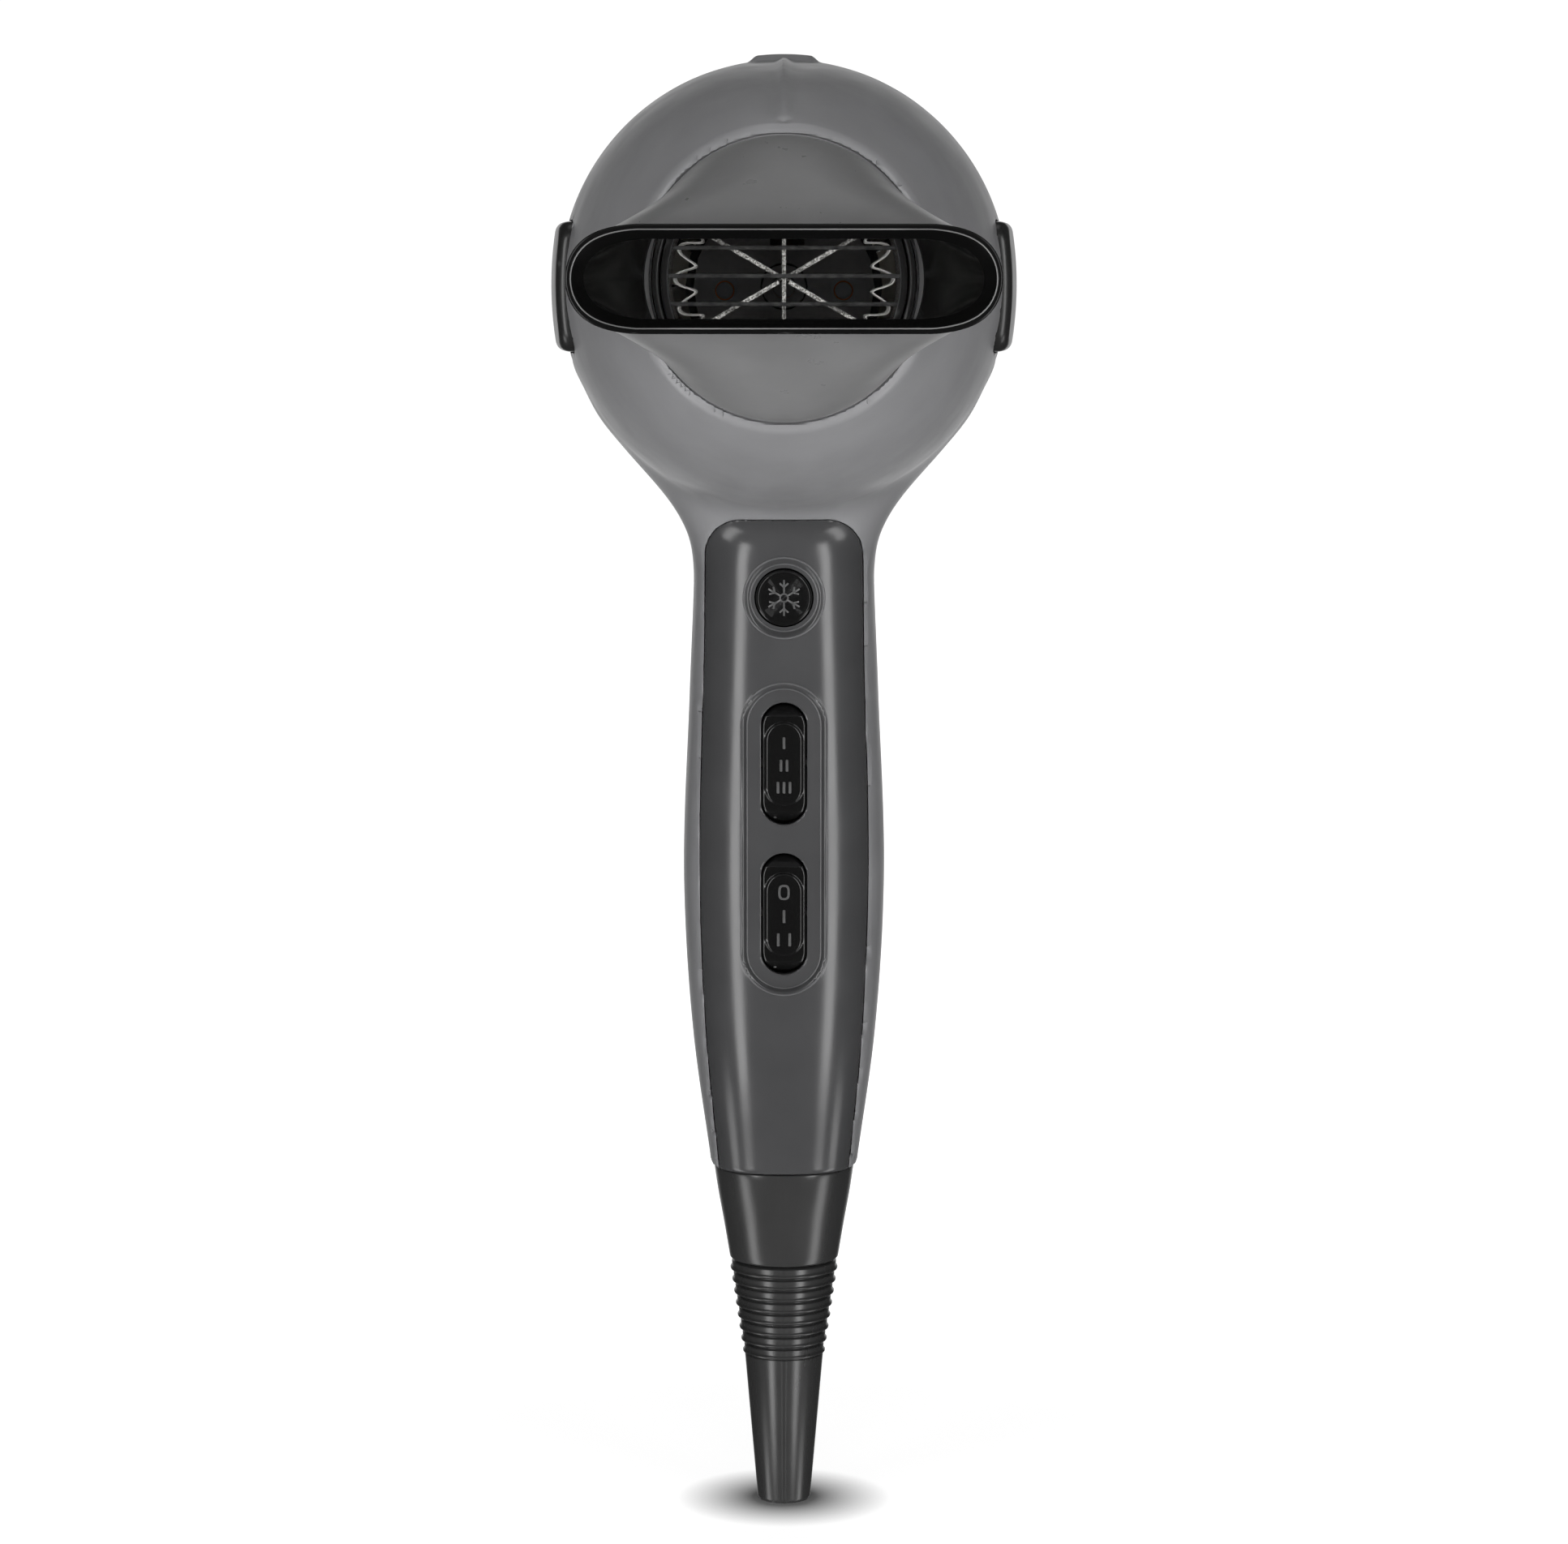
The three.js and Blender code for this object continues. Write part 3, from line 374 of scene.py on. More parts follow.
def skin(rings, wrap=False, caps=False):
    """Quads through rings of equal length. wrap joins the last ring to the first."""
    count, n = len(rings), len(rings[0])
    faces = []
    for i in range(count if wrap else count - 1):
        a, b = i * n, (i + 1) % count * n
        faces.extend((a + j, a + (j + 1) % n, b + (j + 1) % n, b + j) for j in range(n))
    if caps:
        faces.append(tuple(range(n)))
        faces.append(tuple(range((count - 1) * n, count * n)))
    return np.concatenate(rings), faces


def joined(*parts):
    """One mesh from several (vertices, faces) pairs."""
    vertices, faces, start = [], [], 0
    for points, sides in parts:
        vertices.append(np.asarray(points, float))
        faces.extend([index + start for index in face] for face in sides)
        start += len(points)
    return np.concatenate(vertices), faces


def moved(part, offset):
    return np.asarray(part[0]) + np.array(offset, float), part[1]


def turned_about_y(part, degrees):
    turn = np.array(Matrix.Rotation(math.radians(degrees), 3, "Y"))
    return np.asarray(part[0]) @ turn.T, part[1]


def filleted(profile, steps=4):
    """A closed profile of (u, v, corner radius) rows, with its corners rounded over."""
    out = []
    for i, (u, v, radius) in enumerate(profile):
        corner = np.array([u, v], float)
        if radius == 0:
            out.append(corner)
            continue
        back = np.array(profile[i - 1][:2], float) - corner
        ahead = np.array(profile[(i + 1) % len(profile)][:2], float) - corner
        longest = 0.49 * min(np.linalg.norm(back), np.linalg.norm(ahead))
        back /= np.linalg.norm(back)
        ahead /= np.linalg.norm(ahead)
        half = math.acos(np.clip(back @ ahead, -1, 1)) / 2
        reach = min(radius / math.tan(half), longest)
        radius = reach * math.tan(half)
        middle = (back + ahead) / np.linalg.norm(back + ahead)
        centre = corner + middle * radius / math.sin(half)
        start, end = corner + back * reach - centre, corner + ahead * reach - centre
        a = math.atan2(start[1], start[0])
        sweep = (math.atan2(end[1], end[0]) - a + math.pi) % (2 * math.pi) - math.pi
        for share in np.linspace(0, 1, steps + 1):
            angle = a + share * sweep
            out.append(centre + radius * np.array([math.cos(angle), math.sin(angle)]))
    return np.array(out)


def tube(inner, outer, start, end, corners):
    """The profile of a plain ring, with its four corner radii."""
    points = ((inner, start), (outer, start), (outer, end), (inner, end))
    return [(*point, corner) for point, corner in zip(points, corners)]


def lathe(profile, sides=96, axis="y", steps=4):
    """A closed (radius, position, corner radius) profile turned about the y or z axis."""
    angle = np.linspace(0, 2 * math.pi, sides, endpoint=False)
    rings = []
    for r, at in filleted(profile, steps):
        along = np.full(sides, at)
        if axis == "y":
            rings.append(np.stack([r * np.cos(angle), along, r * np.sin(angle)], 1))
        else:
            rings.append(np.stack([r * np.cos(angle), r * np.sin(angle), along], 1))
    return skin(rings, wrap=True)


def sweep(path, section, up, closed=False):
    """A closed (sideways, upwards) section carried along a path."""
    path, section, up = (np.asarray(part, float) for part in (path, section, up))
    if closed:
        tangent = np.roll(path, -1, 0) - np.roll(path, 1, 0)
    else:
        tangent = np.gradient(path, axis=0)
    tangent /= np.linalg.norm(tangent, axis=1, keepdims=True)
    sideways = np.cross(tangent, up)
    sideways /= np.linalg.norm(sideways, axis=1, keepdims=True)
    upwards = np.cross(sideways, tangent)
    rings = [p + section[:, :1] * s + section[:, 1:] * u for p, s, u in zip(path, sideways, upwards)]
    return skin(rings, wrap=closed, caps=not closed)


def circle(radius, sides=8):
    angle = np.linspace(0, 2 * math.pi, sides, endpoint=False)
    return np.stack([radius * np.cos(angle), radius * np.sin(angle)], 1)


def rounded_rectangle(half_u, half_v, radius, steps=2):
    corners = [(half_u, half_v), (-half_u, half_v), (-half_u, -half_v), (half_u, -half_v)]
    return filleted([(u, v, radius) for u, v in corners], steps)


def bar(start, end, half_width, half_depth, radius=0.15, up=(0, 1, 0)):
    """A straight bar with rounded long edges and softened ends."""
    start, end = np.array(start, float), np.array(end, float)
    along = (end - start) / np.linalg.norm(end - start)
    soft = min(radius, 0.3 * np.linalg.norm(end - start))
    path = [start, start + along * soft, end - along * soft, end]
    full = rounded_rectangle(half_width, half_depth, radius)
    sideways = np.cross(along, up)
    sideways /= np.linalg.norm(sideways)
    upwards = np.cross(sideways, along)
    rings = []
    for point, inset in zip(path, (soft, 0, 0, soft)):
        scale = np.array([1 - inset / half_width, 1 - inset / half_depth]).clip(0.2, 1)
        section = full * scale
        rings.append(point + section[:, :1] * sideways + section[:, 1:] * upwards)
    return skin(rings, caps=True)


def arc_path(radius, start=0.0, end=360.0, steps=96, y=0.0):
    closed = end - start >= 360
    angle = np.radians(np.linspace(start, end, steps, endpoint=not closed))
    return np.stack([radius * np.cos(angle), np.full(steps, y), radius * np.sin(angle)], 1)


def superellipse(a, b, n, m, per_quarter):
    """|u/a|^n + |v/b|^m = 1 as [u, v] points, evenly spaced along each quarter."""
    turn = np.linspace(0, math.pi / 2, 400)
    dense = np.stack([a * np.cos(turn).clip(0) ** (2 / n), b * np.sin(turn).clip(0) ** (2 / m)], 1)
    dense[-1] = (0, b)
    run = np.concatenate([[0], np.cumsum(np.linalg.norm(np.diff(dense, axis=0), axis=1))])
    wanted = np.linspace(0, run[-1], per_quarter + 1)
    quarter = np.stack([np.interp(wanted, run, dense[:, i]) for i in range(2)], 1)
    back = quarter[::-1]
    parts = [quarter[:-1], back[:-1] * (-1, 1), quarter[:-1] * (-1, -1), back[:-1] * (1, -1)]
    return np.concatenate(parts)


def build(name, part, material, body, replaces=(), crease=40.0):
    """An object from a swept or turned mesh, with its faces turned outwards."""
    thing = new_object(name, part[0], part[1], material, body, replaces, crease)
    work = bmesh.new()
    work.from_mesh(thing.data)
    bmesh.ops.recalc_face_normals(work, faces=work.faces[:])
    work.to_mesh(thing.data)
    work.free()
    thing.data.shade_smooth()
    thing.data.set_sharp_from_angle(angle=math.radians(crease))
    return thing


# ---- finishes


class Finish:
    """One node material, built socket by socket."""

    def __init__(self, name):
        self.material = bpy.data.materials.new(name)
        self.material.use_nodes = True
        self.tree = self.material.node_tree
        self.shader = self.tree.nodes["Principled BSDF"]
        self.place = self.add("ShaderNodeTexCoord").outputs["Object"]

    def add(self, kind, inputs=None, **settings):
        node = self.tree.nodes.new(kind)
        for key, value in settings.items():
            setattr(node, key, value)
        for key, value in (inputs or {}).items():
            self.put(node.inputs[key], value)
        return node

    def put(self, socket, value):
        if isinstance(value, bpy.types.NodeSocket):
            self.tree.links.new(value, socket)
        else:
            socket.default_value = value

    def noise(self, size, detail=3.0, stretch=(1, 1, 1)):
        """Noise whose features are about size millimetres across."""
        scaled = self.add("ShaderNodeMapping", {"Vector": self.place, "Scale": stretch})
        inputs = {"Vector": scaled.outputs["Vector"], "Scale": 1 / (size * MM), "Detail": detail}
        return self.add("ShaderNodeTexNoise", inputs).outputs["Fac"]

    def mapped(self, value, low_in, high_in, low_out=0.0, high_out=1.0):
        inputs = {"Value": value, "From Min": low_in, "From Max": high_in}
        inputs.update({"To Min": low_out, "To Max": high_out})
        return self.add("ShaderNodeMapRange", inputs).outputs["Result"]

    def times(self, a, b):
        return self.add("ShaderNodeMath", {0: a, 1: b}, operation="MULTIPLY").outputs[0]

    def mixed(self, share, a, b):
        node = self.add("ShaderNodeMix", data_type="RGBA")
        self.put(node.inputs[0], share)
        self.put(node.inputs[6], a)
        self.put(node.inputs[7], b)
        return node.outputs[2]

    def bump(self, height, depth, under=None):
        """Relief of depth millimetres, laid over another relief."""
        inputs = {"Height": height, "Distance": depth * MM, "Strength": 1.0}
        if under is not None:
            inputs["Normal"] = under
        return self.add("ShaderNodeBump", inputs).outputs["Normal"]


def grey(level, tint=0.0):
    return (level, level, level * (1 + tint), 1)


def moulded(name, colour, rough, *, edge=None, wear_and_highlight_from=0.54, spread=0.06, grain=0.35, depth=0.006, wave=0.0,
            scratches=0.0, specular=0.5, metallic=0.0):
    """Plastic, rubber or metal: clouded colour, edges lightened for wear and as painted highlight lines,
    uneven gloss, grain and fine scratches.
    """
    f = Finish(name)
    cloud = f.noise(14, 4)
    darker = tuple(v * (1 - spread) for v in colour[:3]) + (1,)
    lighter = tuple(min(1, v * (1 + spread)) for v in colour[:3]) + (1,)
    tone = f.mixed(f.mapped(cloud, 0.3, 0.7), darker, lighter)
    if edge is not None:
        # The edge colour lightens convex edges: partly wear, partly a painted highlight along each edge.
        convex = f.mapped(f.add("ShaderNodeNewGeometry").outputs["Pointiness"], wear_and_highlight_from, wear_and_highlight_from + 0.06)
        wear_and_highlight = f.times(convex, f.mapped(f.noise(1.6, 4), 0.35, 0.65, 0.25, 1.0))
        tone = f.mixed(wear_and_highlight, tone, edge)
    f.put(f.shader.inputs["Base Color"], tone)
    smear = f.mapped(f.noise(6, 5, (1, 1, 0.4)), 0.3, 0.7, rough * 0.9, rough * 1.12)
    if scratches:
        lines = f.mapped(f.noise(0.5, 2, (1, 1, 0.03)), 0.66, 0.72, 0.0, scratches)
        smear = f.add("ShaderNodeMath", {0: smear, 1: lines}, operation="ADD").outputs[0]
    f.put(f.shader.inputs["Roughness"], smear)
    relief = f.bump(f.noise(grain, 2), depth)
    if wave:
        relief = f.bump(f.noise(9, 2), wave, relief)
    f.put(f.shader.inputs["Normal"], relief)
    f.shader.inputs["Metallic"].default_value = metallic
    f.shader.inputs["Specular IOR Level"].default_value = specular
    return f.material


def speckled_mica(name):
    """Pressed mica sheet: silver flakes and dark binder."""
    f = Finish(name)
    flakes = f.mapped(f.noise(0.34, 5), 0.42, 0.6)
    sheen = f.mixed(f.mapped(f.noise(2.5, 3), 0.3, 0.7), (0.30, 0.295, 0.28, 1), (0.62, 0.61, 0.58, 1))
    f.put(f.shader.inputs["Base Color"], f.mixed(flakes, (0.05, 0.048, 0.044, 1), sheen))
    f.put(f.shader.inputs["Roughness"], f.mapped(flakes, 0, 1, 0.65, 0.32))
    f.put(f.shader.inputs["Normal"], f.bump(f.noise(0.3, 4), 0.05))
    return f.material


def laminate(name):
    """Brown circuit board with dull copper tracks."""
    f = Finish(name)
    tracks = f.add("ShaderNodeTexWave", {"Vector": f.place, "Scale": 130.0, "Distortion": 6.0, "Detail": 1.0})
    copper = f.mapped(tracks.outputs["Fac"], 0.62, 0.68)
    fibre = f.mixed(f.noise(0.5, 3), (0.16, 0.085, 0.03, 1), (0.25, 0.14, 0.055, 1))
    f.put(f.shader.inputs["Base Color"], f.mixed(copper, fibre, (0.42, 0.2, 0.08, 1)))
    f.put(f.shader.inputs["Roughness"], f.mapped(copper, 0, 1, 0.6, 0.35))
    f.put(f.shader.inputs["Normal"], f.bump(f.noise(0.4, 3), 0.02))
    return f.material


def wound_copper(name):
    """Enamelled winding: fine parallel turns, coloured darker in the gaps between them as painted shade."""
    f = Finish(name)
    wave = {"Vector": f.place, "Scale": 520.0, "Distortion": 0.6}
    turns = f.add("ShaderNodeTexWave", wave, bands_direction="Y")
    # The gap colour is painted shade between the turns; the crown colour is the copper's own.
    gap, crown = (0.2, 0.065, 0.025, 1), (0.72, 0.3, 0.12, 1)
    f.put(f.shader.inputs["Base Color"], f.mixed(turns.outputs["Fac"], gap, crown))
    f.put(f.shader.inputs["Roughness"], f.mapped(f.noise(3, 3), 0.3, 0.7, 0.24, 0.42))
    f.put(f.shader.inputs["Normal"], f.bump(turns.outputs["Fac"], 0.12))
    f.shader.inputs["Metallic"].default_value = 0.9
    return f.material


HOUSING = moulded("housing_grey", grey(0.19, 0.03), 0.35, wave=0.015, scratches=0.03)
NOZZLE_GREY = moulded("nozzle_grey", grey(0.152, 0.01), 0.30, wave=0.01)
COVER = moulded("cover_graphite", grey(0.039, 0.03), 0.2, wave=0.01, scratches=0.015)
DUCT = moulded("duct_black", grey(0.003), 0.2, edge=grey(0.03), grain=0.5, depth=0.003, specular=0.25)
GLOSS = moulded("gloss_black", grey(0.004), 0.13, edge=grey(0.02), grain=0.5, depth=0.002, scratches=0.08)
HOT_BLACK = moulded("hot_black", grey(0.006), 0.36, edge=grey(0.03), grain=0.3, depth=0.01)
RUBBER = moulded("rubber_black", grey(0.022), 0.25, edge=grey(0.05), grain=0.3, depth=0.012)
PAD_BLACK = moulded("pad_black", grey(0.01), 0.3, edge=grey(0.05), grain=0.3, depth=0.008)
# The switch's pale edge colour is a painted highlight along the rockers' edges.
SWITCH = moulded("switch_black", grey(0.0035), 0.16, edge=grey(0.12), wear_and_highlight_from=0.53, grain=0.4, depth=0.003)
# Light grey for the bead along the mouth's inner lip: a painted highlight line.
LIP_HIGHLIGHT = moulded("painted_lip_highlight", grey(0.11), 0.2, spread=0.3, depth=0.003)
# Lighter than the cover, for the beads round the tray and dish: painted highlight lines.
RIM_HIGHLIGHT = moulded("cover_rim", grey(0.075, 0.03), 0.16, spread=0.15, depth=0.003)
# Raised marks on the black rockers and button, coloured mid grey: a painted highlight on their strokes.
MARK_HIGHLIGHT = moulded("mark_painted_highlight", grey(0.055), 0.25, spread=0.15, depth=0.003)
MICA = speckled_mica("mica_sheet")
STEEL = moulded("bright_steel", grey(0.55, 0.01), 0.3, spread=0.1, grain=0.4, scratches=0.15, metallic=1.0)
DARK_STEEL = moulded("core_steel", grey(0.2), 0.45, spread=0.15, grain=0.5, depth=0.02, metallic=1.0)
WIRE = moulded("heating_wire", (0.66, 0.65, 0.63, 1), 0.32, spread=0.18, grain=0.3, depth=0.01, metallic=0.5)
COPPER = moulded("copper", (0.62, 0.27, 0.12, 1), 0.34, spread=0.15, grain=0.4, depth=0.01, metallic=1.0)
WINDING = wound_copper("copper_winding")
FAN_PLASTIC = moulded("fan_plastic", (0.62, 0.6, 0.55, 1), 0.42, edge=grey(0.8), spread=0.05, depth=0.01)
BOARD = laminate("board_laminate")
LEAD = moulded("lead_insulation", (0.05, 0.09, 0.2, 1), 0.45, spread=0.1, grain=0.4, depth=0.01)

# ---- casing, cover and pads

TRAY_HALF = (8.0, 32.8)
TRAY_DEPTH_Y = 10.2
DISH_R = 7.4
DISH_DEPTH_Y = 10.4
BUTTON_HOLE_R = 6.4
ROCKER_HOLE_HALF = (4.95, 13.3)
PAD_Y = 14.0
PAD_HALF = (27.0, 13.6)
PAD_CORNER = 5.0


def pad_outline(y, z, margin):
    """Rounded rectangle of a side pad, seen from the side."""
    u = np.abs(y - PAD_Y) - (PAD_HALF[0] + margin - PAD_CORNER)
    v = np.abs(z + HEAD_DROP) - (PAD_HALF[1] + margin - PAD_CORNER)
    return np.hypot(np.maximum(u, 0), np.maximum(v, 0)) + np.minimum(np.maximum(u, v), 0) - PAD_CORNER


def pad_field(side):
    def field(x, y, z):
        height = z + HEAD_DROP
        crown = head_radius(y) + 1.8 - height**2 / 152
        outer = side * x - crown
        inner = head_radius(y) - 0.8 - np.hypot(x, z - head_centre(y))
        edge = blend_max(outer, pad_outline(y, z, 0.0), 2.2)
        return np.maximum(np.maximum(edge, inner), -side * x)

    return field


def housing_field(x, y, z):
    casing = casing_field(x, y, z)
    solid = blend_max(casing, y - SPLIT_Y, 1.2)
    solid = blend_max(solid, -z - HANDLE_END, 1.0)
    solid = np.maximum(solid, -np.maximum(casing + WALL, WEB_Y + WALL - y))
    for x0, drop in SCREWS:
        post = np.hypot(x - x0, z + drop)
        boss = np.maximum(np.maximum(post - BOSS_R, BOSS_FRONT_Y - y), casing + WALL / 2)
        solid = np.minimum(solid, boss)
        solid = blend_max(solid, -np.maximum(post - POST_R, SCREW_SEAT_Y - y), 0.6)
        solid = np.maximum(solid, SCREW_CLEAR_R - post)
    rho = np.hypot(x, z)
    solid = blend_max(solid, -np.maximum(rho - RECESS_R, y - WEB_Y), 0.9)
    solid = np.maximum(solid, -np.maximum(rho - OUTLET_R, y + 40))
    opening = np.maximum(cover_field(x, y, z) - SEAM, y - COVER_BACK_Y - 1)
    solid = blend_max(solid, -opening, 0.35)
    seat = np.maximum(pad_outline(y, z, GAP), head_radius(y) - 1.1 - np.hypot(x, z - head_centre(y)))
    return blend_max(solid, -np.maximum(seat, 20 - np.abs(x)), 0.5)


def rear_housing_field(x, y, z):
    casing = casing_field(x, y, z)
    solid = blend_max(casing, SPLIT_Y + GAP - y, 1.2)
    solid = blend_max(solid, y - CAP_Y, 1.2)
    return np.maximum(solid, -(casing + WALL))


def cover_solid(x, y, z):
    casing = casing_field(x, y, z)
    outline = cover_field(x, y, z)
    solid = blend_max(casing, outline, 0.35)
    solid = np.maximum(solid, y - COVER_BACK_Y)
    solid = blend_max(solid, -z - HANDLE_END, 0.8)
    solid = np.maximum(solid, -np.maximum(casing + WALL, outline + WALL))
    tray_z = z + TRAY_DROP
    rim = stadium_field(x, tray_z, 9.2, 34.0)
    solid = np.minimum(solid, np.maximum(np.maximum(rim, y - 12.6), TRAY_DEPTH_Y - 1 - y))
    dish = np.hypot(x, z + BUTTON_DROP)
    for x0, drop in SCREWS:
        post = np.hypot(x - x0, z + drop)
        solid = np.minimum(solid, np.maximum(np.maximum(post - POST_R, y - POST_BACK_Y), casing + 1))
    wall = 0.75 * (TRAY_DEPTH_Y - y)
    tray = np.maximum((stadium_field(x, tray_z, *TRAY_HALF) - wall) * 0.8, y - TRAY_DEPTH_Y)
    solid = blend_max(solid, -tray, 0.4)
    cone = np.maximum((dish - DISH_R - (DISH_DEPTH_Y - y)) * 0.7, y - DISH_DEPTH_Y)
    solid = blend_max(solid, -cone, 0.4)
    solid = np.maximum(solid, BUTTON_HOLE_R - dish)
    for drop in ROCKER_DROP.values():
        solid = blend_max(solid, -stadium_field(x, z + drop, *ROCKER_HOLE_HALF), 0.5)
    return solid


def add_casings():
    top = HEAD_R + 3
    vertices, faces = contour(housing_field, (-50, -58, -HANDLE_END - 1), (50, 63, top), 0.85)
    new_object("main_housing_fine", vertices, faces, HOUSING, "housing", ["main_housing"])
    vertices, faces = contour(rear_housing_field, (-50, 61, -52), (50, 83, top), 0.85)
    new_object("rear_housing_fine", vertices, faces, HOUSING, "housing", ["rear_housing"])
    vertices, faces = contour(cover_solid, (-19.5, 0, -HANDLE_END - 1), (19.5, 26, -COVER_TOP + 1), 0.42)
    new_object("handle_cover_fine", vertices, faces, COVER, "housing", ["handle_front_cover"])
    for name, side in (("side_pad_left", -1), ("side_pad_right", 1)):
        x_range = sorted((side * 40, side * 51))
        vertices, faces = contour(pad_field(side), (x_range[0], -15, -17), (x_range[1], 43, 14), 0.4)
        new_object(name + "_fine", vertices, faces, PAD_BLACK, "housing", [name])
    spigot = tube(OUTLET_R, SPIGOT_R, WEB_Y + 1, SPIGOT_Y, (0, 0, 0.5, 0.5))
    build("outlet_spigot", lathe(spigot, 128), HOT_BLACK, "housing", ())
    shelf = tube(28.25, 29.4, FRONT_Y + 0.75, FRONT_Y + 3, (0.1, 0, 0, 0.1))
    build("nozzle_shelf", lathe(shelf, 192), HOUSING, "housing", ())


# ---- nozzle

NOZZLE_R = 28.2
NOZZLE_LOFT_Y = -61.0
NOZZLE_WALL = 1.4
MOUTH_HALF_WIDTH = high("nozzle_duct")[0]
MOUTH_HALF_HEIGHT = 10.35
MOUTH_POWER = 7.7
FLANGE_PROUD = 0.5
SHOULDER = 0.07
MOUTH_FLAT = 0.3


def nozzle_ring(y, inset, per_quarter=44):
    """The nozzle's outline at y: round at the base, wide and flat at the mouth."""
    share = min(1, max(0, (NOZZLE_LOFT_Y - y) / (NOZZLE_LOFT_Y - FLANGE_Y)))
    rounded = (math.hypot(share, SHOULDER) - SHOULDER) / (math.hypot(1, SHOULDER) - SHOULDER)
    flattening = rounded + (share * share * (3 - 2 * share) - share) * 0.25
    half_width = NOZZLE_R + (MOUTH_HALF_WIDTH - FLANGE_PROUD - NOZZLE_R) * share**1.25 - inset
    half_height = NOZZLE_R + (MOUTH_HALF_HEIGHT - FLANGE_PROUD - NOZZLE_R) * flattening - inset
    power = 2 + (MOUTH_POWER - 2) * share**3
    points = superellipse(half_width, half_height + MOUTH_FLAT * share, power, 2, per_quarter)
    level = np.clip(points[:, 1], -half_height, half_height)
    return np.stack([points[:, 0], np.full(len(points), y), level], 1)


def nozzle_skin(profile, steps=4):
    """A closed (inset, y, corner radius) profile carried round the nozzle's outline."""
    return skin([nozzle_ring(y, inset) for inset, y in filleted(profile, steps)], wrap=True)


def add_nozzle():
    body = NOZZLE_LOFT_Y + (FLANGE_Y - NOZZLE_LOFT_Y) * np.linspace(0, 1, 34) ** 1.4
    outer = [(0.0, y, 0) for y in body[:-1]] + [(0.0, FLANGE_Y, 0.35)]
    inner = [(NOZZLE_WALL, FLANGE_Y, 0.2)] + [(NOZZLE_WALL, y, 0) for y in body[::-1][1:]]
    base = [(0.9, NOZZLE_LOFT_Y + 0.5, 0), (0.9, NOZZLE_BASE_Y, 0.2), (0.0, NOZZLE_BASE_Y, 0.4)]
    build("nozzle_shell_fine", nozzle_skin(outer + inner + base), NOZZLE_GREY, "nozzle", ["nozzle_shell"],
          50)
    gap = 0.3
    inset = NOZZLE_WALL + gap
    throat_y = -69.0
    stations = np.linspace(throat_y, FLANGE_Y - 0.6, 22)
    lip = [(-FLANGE_PROUD, FLANGE_Y - gap, 0.35), (-FLANGE_PROUD, MOUTH_Y, 0.55), (0.45, MOUTH_Y, 0.4)]
    bore = [(inset + 0.9, MOUTH_Y + 3.2, 0.6)] + [(inset + 0.9, y, 0) for y in stations[::-1][2:-1]]
    rear = [(inset + 0.9, throat_y, 0.3), (inset, throat_y, 0.3)]
    back = [(inset, y, 0) for y in stations[1:-1]] + [(inset, FLANGE_Y - gap, 0)]
    build("nozzle_duct_fine", nozzle_skin(rear + back + lip + bore, 5), DUCT, "nozzle", ["nozzle_duct"],
          50)
    # A pale bead along the inner lip of the mouth, a painted highlight line.
    highlight_bead = sweep(nozzle_ring(MOUTH_Y, 0.55) + (0, 0.05, 0), circle(0.15, 8), (0, 1, 0), closed=True)
    build("mouth_highlight_bead", highlight_bead, LIP_HIGHLIGHT, "nozzle", (), 60)


# ---- outlet and heater

PLACES = ("front", "middle", "rear")


def add_outlet():
    front = low("outlet_grille")[1]
    rear = high("outlet_grille")[1]
    middle = (front + rear) / 2
    parts = [lathe(tube(22.9, 24.5, front, rear, (0.3, 0.3, 0.2, 0.2)), 128)]
    for k in range(-3, 4):
        z = 0.6 + 5.55 * k
        half = math.sqrt(23.4**2 - z * z)
        parts.append(bar((-half, middle, z), (half, middle, z), 0.42, 0.85, 0.2))
    build("outlet_grille_fine", joined(*parts), HOT_BLACK, "housing", ["outlet_grille"])


def coil(y, teeth=22):
    """Ribbon bent into a ring of rounded loops that point at the axis."""
    angle = np.linspace(0, 2 * math.pi, teeth * 20, endpoint=False)
    phase = teeth * angle
    wave = np.cos(phase) + 0.14 * np.cos(2 * phase)
    radius = 20.35 - 2.05 * wave
    turn = angle + math.pi / teeth
    path = np.stack([radius * np.cos(turn), np.full_like(turn, y), radius * np.sin(turn)], 1)
    return sweep(path, rounded_rectangle(0.15, 0.6, 0.08, 1), (0, 1, 0), closed=True)


def add_heater():
    for place in PLACES:
        node = f"heater_coil_{place}"
        ribbon = coil((low(node)[1] + high(node)[1]) / 2)
        build(f"heater_ribbon_{place}", ribbon, WIRE, "housing", [node])
    sleeve = tube(23.4, 24.2, -58.4, -14, (0.1, 0.1, 0, 0))
    build("mica_sleeve_fine", lathe(sleeve, 128), MICA, "housing", ["mica_sleeve"])
    strips = []
    for side in (-1, 1):
        strips.append(bar((side * 24.5, -56.5, -0.4), (side * 23.9, -56.5, -4.8), 0.16, 0.5, 0.08))
    build("heater_terminals", joined(*strips), COPPER, "housing", ())
    eyelets = []
    for side in (-1, 1):
        ring = sweep(arc_path(1.9, steps=40), circle(0.16, 6), (0, 1, 0), closed=True)
        eyelets.append(moved(ring, (side * 12.4, -12.4, -2.4)))
    build("rear_eyelets", joined(*eyelets), COPPER, "housing", ())


# ---- rockers and button


